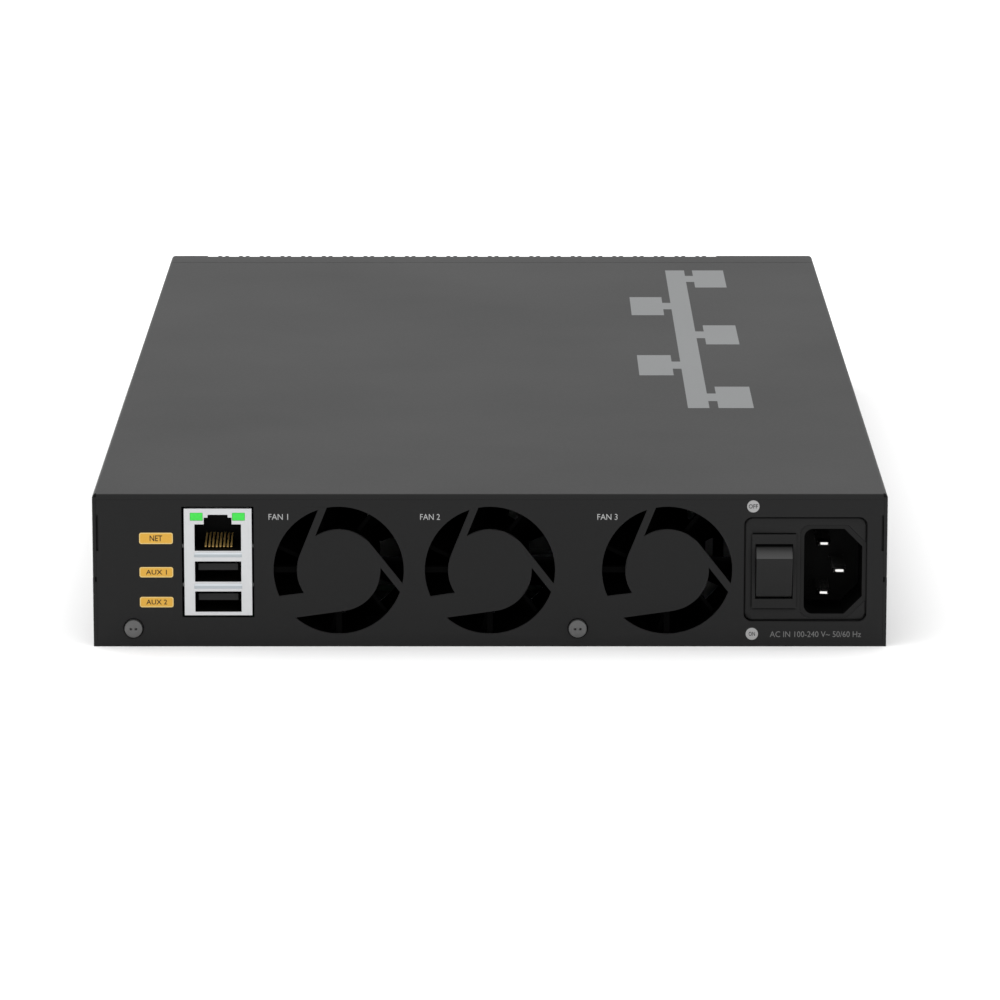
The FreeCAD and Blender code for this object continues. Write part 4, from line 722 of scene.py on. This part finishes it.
def moulded(name, grey, rough, level, **grain):
    """Moulded plastic with a fine grain and a faint change of tone."""
    plastic = Finish(name, {"Specular IOR Level": level})
    cloud = plastic.noise(0.02)
    plastic.put("Base Color", plastic.mix(cloud, shade(grey * 0.85), shade(grey * 1.15)))
    eroded(plastic, rough - 0.06, **grain)
    return plastic.material


def repaint(material, *nodes):
    """A CAD node whose shape is right keeps it and takes this finish."""
    for node in nodes:
        for held in frame["nodes"][node].material_slots:
            held.material = material


def copper_winding():
    """Enamelled wire laid in close turns over the steel teeth."""
    wire = Finish("copper_winding", {"Metallic": 0.8})
    bands = {"Vector": wire.place, "Scale": 1400, "Distortion": 0.4}
    turns = wire.node("TexWave", {"bands_direction": "Y"}, bands)
    wire.put("Base Color", wire.mix(turns, (0.24, 0.07, 0.02, 1), (0.62, 0.24, 0.08, 1)))
    wire.put("Roughness", 0.45 - turns * 0.15)
    wire.bump(turns, 0.00006, 0.6)
    return wire.material


# Partly painted shade: the frames and blades are black plastic, but taken almost to no colour and
# no reflection, so the case's shaded inside reads black through the grilles.
fan_plastic = moulded("fan_plastic", 0.0008, 0.6, 0.015)
blade_plastic = moulded("blade_plastic", 0.0009, 0.55, 0.015)
rotor_steel = plated("rotor_steel", 0.12, 0.4)
for number in (1, 2, 3):
    frame_node, housing = "fan_frame_%d" % number, "fan_housing_%d" % number
    stand_in(frame_node, housing, 0.2, fan_plastic, "fan_plastic")
    impeller_node, blades = "fan_impeller_%d" % number, "fan_blades_%d" % number
    stand_in(impeller_node, blades, 0.12, blade_plastic, "fan_plastic")
    repaint(rotor_steel, "fan_rotor_yoke_%d" % number)
repaint(copper_winding(), "fan_stators")
repaint(black_zinc, "fan_screws")


# ------------------------------------------------------------------ management jack, two sockets
# One plated steel shield, folded round a black moulding, holds an eight-way jack above two flat
# sockets. Gold contacts lie in the jack, and two green lamps shine through clear lenses above it.

jack_low, jack_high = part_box("mgmt_insulator")
jack_middle = (jack_low.x + jack_high.x) / 2 + 0.03 * MM


def tin_plate(name, grey, rough):
    """Bright tin plate: brushed along its length, with a few handling marks."""
    tin = Finish(name, {"Metallic": 0.75})
    brushed = tin.noise(0.0004, detail=4, place=tin.stretched(0.08, 1, 1))
    marks = tin.noise(0.005, detail=5, rough=0.7)
    dull = shade(grey * 0.94, (0.97, 0.985, 1))
    bright = shade(grey * 1.04, (0.99, 1, 1.01))
    tin.base = tin.mix(marks, dull, bright)
    tin.put("Base Color", tin.base)
    tin.put("Roughness", rough - 0.05 + brushed * 0.1)
    tin.bump(brushed, 0.000006, 0.3)
    return tin


def shield_plate():
    """The jack's shield: tin plate, with a painted highlight over the upper part of two beads,
    painted shade along their foot, and painted shade over the side springs.
    """
    tin = tin_plate("shield_plate", 0.565, 0.42)
    x, y, z = tin.axes()
    # Painted shade: beyond the moulding's width the shield's side springs are darkened nearly to
    # black, where the gap beside the jack lies in shadow.
    side_gap_shade = 1 - between(x, jack_low.x - 0.45 * MM, jack_high.x + 0.5 * MM)
    colour = tin.mix(side_gap_shade * 0.92, tin.base, shade(0.03))
    bead_half = 6.6 * MM
    bead_high = 1.3 * MM
    foot_high = bead_high * 0.6
    # Painted highlight over the upper part of each bead, and painted shade along its lower part.
    bead_highlight_colour = shade(0.66, (0.94, 1, 1.05))
    foot_shade_colour = shade(0.4, (0.89, 0.98, 1.04))
    across = between(x, jack_middle - bead_half, jack_middle + bead_half)
    for low in (25.4 * MM, 16.5 * MM):
        bead_highlight = across * between(z, low, low + bead_high)
        bead_foot_shade = across * between(z, low, low + foot_high)
        colour = tin.mix(bead_highlight * 0.8, colour, bead_highlight_colour)
        colour = tin.mix(bead_foot_shade * 0.85, colour, foot_shade_colour)
    tin.put("Base Color", colour)
    return tin.material


def gold_plate():
    """Selective gold over nickel, worn paler where a plug rubs."""
    gold = Finish("gold_plate", {"Metallic": 0.35})
    worn = gold.noise(0.0015, detail=4)
    gold.put("Base Color", gold.mix(worn, (0.62, 0.4, 0.12, 1), (0.9, 0.62, 0.22, 1)))
    gold.put("Roughness", 0.25 + worn * 0.15)
    return gold.material


def lamp_lens():
    """Green lens, lit from behind, with a faint ripple."""
    lens = Finish("lamp_lens", {"Roughness": 0.3, "Emission Strength": 0.245})
    ripple = lens.noise(0.0006, detail=2)
    lens.put("Base Color", lens.mix(ripple, (0.015, 0.4, 0.03, 1), (0.03, 0.5, 0.05, 1)))
    lens.put("Emission Color", lens.mix(ripple, (0.02, 0.8, 0.03, 1), (0.05, 1, 0.06, 1)))
    lens.bump(ripple, 0.00004, 0.3)
    return lens.material


def stack_plastic():
    """The moulding's black, and the greyer insert that makes the tongue of each lower socket."""
    plastic = Finish("stack_plastic", {"Specular IOR Level": 0.08})
    x, y, z = plastic.axes()
    tongue_half = 5.6 * MM
    tongues = between(z, 12.95 * MM, 14.95 * MM) + between(z, 21.45 * MM, 23.5 * MM)
    tongues = tongues * between(x, jack_middle - tongue_half, jack_middle + tongue_half)
    plastic.put("Base Color", plastic.mix(tongues, shade(0.003), shade(0.022)))
    eroded(plastic, 0.45)
    return plastic.material


port_black = moulded("port_black", 0.003, 0.5, 0.06)
gold = gold_plate()
stand_in("mgmt_shield", "jack_shield", 0.1, shield_plate(), "plated_shield")
stand_in("mgmt_insulator", "jack_moulding", 0.08, stack_plastic(), "port_plastic")
stand_in("mgmt_contacts", "jack_contacts", 0.05, gold, "gold_contact")
stand_in("mgmt_lenses", "jack_lamps", 0.12, lamp_lens(), "green_lamp")


# ------------------------------------------------------------------ power inlet and switch
# A moulded carrier fills the window. It holds a three-pin inlet with flat nickel-plated blades,
# and a rocker switch whose black rocker tips on a steel axle in its own snap-in housing.

def inlet_plastic():
    """The carrier's black at the inlet's rim, and painted shade that darkens it down in its
    cavity.
    """
    plastic = Finish("inlet_plastic", {"Specular IOR Level": 0.06})
    x, y, z = plastic.axes()
    rim_deep = 0.7 * MM
    rim = y < panel_face + rim_deep
    # Painted shade: deeper than the rim, the same black is made far darker.
    plastic.put("Base Color", plastic.mix(rim, shade(0.0012), shade(0.0145)))
    eroded(plastic, 0.5)
    return plastic.material


def rocker_plastic():
    """Satin black, with a painted shadow band at the top and a painted highlight below it, paling
    down the upper end face.
    """
    plastic = Finish("rocker_plastic", {"Specular IOR Level": 0.2})
    x, y, z = plastic.axes()
    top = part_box("switch_rocker")[1].z
    lit_end_height = 3.35 * MM
    shadow_band = 0.22
    # Painted highlight: the upper end face pales downwards as if catching the light; above it a
    # painted shadow band darkens the top under the hole's edge.
    down = (top - z) / lit_end_height
    painted_highlight = (down < 1) * down
    colour = plastic.mix(painted_highlight, shade(0.008), shade(0.05))
    plastic.put("Base Color", plastic.mix(down < shadow_band, colour, shade(0.003)))
    eroded(plastic, 0.38, size=0.0006, swing=0.1)
    return plastic.material


def seated_carrier(node, name, corner, roll, material):
    """The carrier with a rolled outer rim, its lower edge drawn down to the window's sill."""
    piece = trimmed_copy(node, name, 0, material)
    low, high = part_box(node)
    near = 0.02 * MM
    drop = 0.24 * MM
    creased = 1.0

    def on_outline(point):
        side = min(point.x - low.x, high.x - point.x)
        end = min(point.z - low.z, high.z - point.z)
        return min(side, end) < near or max(side, end) < corner

    form = bmesh.new()
    form.from_mesh(piece.data)
    for vert in form.verts:
        if vert.co.z < low.z + corner and on_outline(vert.co):
            vert.co.z -= drop
    low = low - Vector((0, 0, drop))
    rim = []
    for edge in form.edges:
        ends = [vert.co for vert in edge.verts]
        at_front = max(point.y for point in ends) < low.y + near
        on_rim = at_front and all(on_outline(point) for point in ends)
        if on_rim and edge.calc_face_angle(0) > creased:
            rim.append(edge)
    bmesh.ops.bevel(form, geom=rim, offset=roll, segments=3, profile=0.5, affect="EDGES")
    form.to_mesh(piece.data)
    form.free()
    smooth_over_flats(piece)
    return piece


entry_black = moulded("entry_black", 0.009, 0.5, 0.16)
nickel = plated("nickel", 0.86, 0.22, (1, 0.985, 0.96))
node = "power_entry_plate"
carrier = seated_carrier(node, "entry_carrier", 2.05 * MM, 0.4 * MM, entry_black)
stand_for(carrier, "entry_plastic", node)
stand_in("inlet_housing", "inlet_moulding", 0.03, inlet_plastic(), "entry_plastic")
stand_in("inlet_pins", "inlet_blades", 0.62, nickel, "pin_plate")
stand_in("switch_housing", "switch_moulding", 0.03, entry_black, "entry_plastic")
stand_in("switch_rocker", "rocker", 0.3, rocker_plastic(), "rocker_plastic")
repaint(nickel, "switch_terminals")


# ------------------------------------------------------------------ port side
# Two rows of jacks in one plated shield, two rows of cages in folded sheet, a small serial socket,
# two buttons and clear light pipes, all showing through the punched face sheet.

def clear_acrylic():
    """Frosted light pipe."""
    acrylic = Finish("clear_acrylic", {"Transmission Weight": 0.6, "IOR": 1.49})
    frost = acrylic.noise(0.0008, detail=2)
    acrylic.put("Base Color", acrylic.mix(frost, shade(0.75), shade(0.88, (0.97, 1, 0.99))))
    acrylic.put("Roughness", 0.25 + frost * 0.2)
    acrylic.bump(frost, 0.00003, 0.2)
    return acrylic.material


tin_dull = tin_plate("tin_dull", 0.55, 0.36).material
button_grey = moulded("button_grey", 0.03, 0.4, 0.3)
stand_in("rj45_shield", "jack_bank_shield", 0.1, tin_dull, "plated_shield")
stand_in("rj45_insulator", "jack_bank_moulding", 0.1, port_black, "port_plastic")
stand_in("rj45_contacts", "jack_bank_contacts", 0.05, gold, "gold_contact")
stand_in("sfp_connectors", "edge_sockets", 0.15, port_black, "port_plastic")
stand_in("light_pipes", "light_pipe_bars", 0.1, clear_acrylic(), "clear_pipe")
stand_in("console_port", "serial_socket", 0.08, tin_dull, "plated_shield")
stand_in("mode_button", "mode_cap", 0.25, button_grey, "button_plastic")
stand_in("reset_button", "reset_plunger", 0.2, button_grey, "button_plastic")
stand_in("tact_switches", "switch_blocks", 0.1, port_black, "port_plastic")
repaint(tin_dull, "sfp_cage")


# ------------------------------------------------------------------ boards and what stands on them
# Glass-epoxy boards under green solder mask, with copper tracks showing through it as paler lines,
# black epoxy chips, anodised heat sinks, sleeved capacitors and ferrite chokes.

def solder_mask(name, tint):
    """Green mask over copper: runs of fine tracks, and patches of solid pour."""
    board = Finish(name, {"Coat Roughness": 0.2, "Specular IOR Level": 0.4})
    mortar_mask = 1
    bond = {"offset": 0.37, "squash": 0.6, "squash_frequency": 3}
    runs = {"Scale": 90, "Mortar Size": 0.035, "Brick Width": 0.9, "Row Height": 0.12}
    tracks = board.node("TexBrick", bond, {"Vector": board.place, **runs}, output=mortar_mask)
    pour = board.noise(0.03, detail=1) > 0.52
    weave = board.noise(0.0005, detail=2)
    copper = tracks * 0.55 + pour * 0.25 + weave * 0.15
    board.put("Base Color", board.mix(copper, shade(0.5, tint), shade(1.5, tint)))
    board.put("Roughness", 0.3 + weave * 0.15)
    board.put("Coat Weight", 0.3 + pour * 0.1)
    board.bump(copper, 0.00003, 0.4)
    return board.material


def chip_epoxy():
    """Moulded epoxy, matt, with flow marks."""
    epoxy = Finish("chip_epoxy", {"Specular IOR Level": 0.3})
    flow = epoxy.noise(0.006, detail=4)
    grain = epoxy.noise(0.0002, detail=2)
    epoxy.put("Base Color", epoxy.mix(flow, shade(0.012), shade(0.022)))
    epoxy.put("Roughness", 0.5 + grain * 0.2)
    epoxy.bump(grain, 0.00001, 0.4)
    return epoxy.material


def can_sleeve():
    """Shrunk dark blue plastic sleeve."""
    sleeve = Finish("can_sleeve", {"Specular IOR Level": 0.5})
    cloud = sleeve.noise(0.008, detail=2)
    sleeve.put("Base Color", sleeve.mix(cloud, (0.01, 0.014, 0.03, 1), (0.02, 0.025, 0.05, 1)))
    sleeve.put("Roughness", 0.25 + cloud * 0.15)
    sleeve.bump(cloud, 0.00005, 0.3)
    return sleeve.material


main_mask = solder_mask("main_mask", (0.006, 0.03, 0.014))
supply_mask = solder_mask("supply_mask", (0.16, 0.12, 0.03))
epoxy = chip_epoxy()
ferrite = moulded("ferrite", 0.03, 0.6, 0.3, size=0.0003, depth=0.00003)
anodised = plated("anodised", 0.5, 0.4, (0.98, 1, 1.02))
galvanised = plated("galvanised", 0.55, 0.38, (0.98, 1, 1.02))
lead_black = moulded("lead_black", 0.012, 0.4, 0.4, depth=0.00002)
header_white = moulded("header_white", 0.55, 0.5, 0.4)
repaint(main_mask, "main_board")
repaint(supply_mask, "supply_board")
repaint(epoxy, "board_chips")
repaint(ferrite, "supply_transformer", "supply_choke", "power_inductors")
repaint(can_sleeve(), "supply_capacitors", "board_capacitors")
repaint(anodised, "main_heatsink", "processor_heatsink", "supply_heatsinks")
repaint(galvanised, "supply_cage", "fan_bracket", "board_standoffs", "board_screws")
repaint(nickel, "heatsink_pins")
repaint(header_white, "board_headers")
repaint(lead_black, "fan_leads", "mains_leads", "supply_leads")
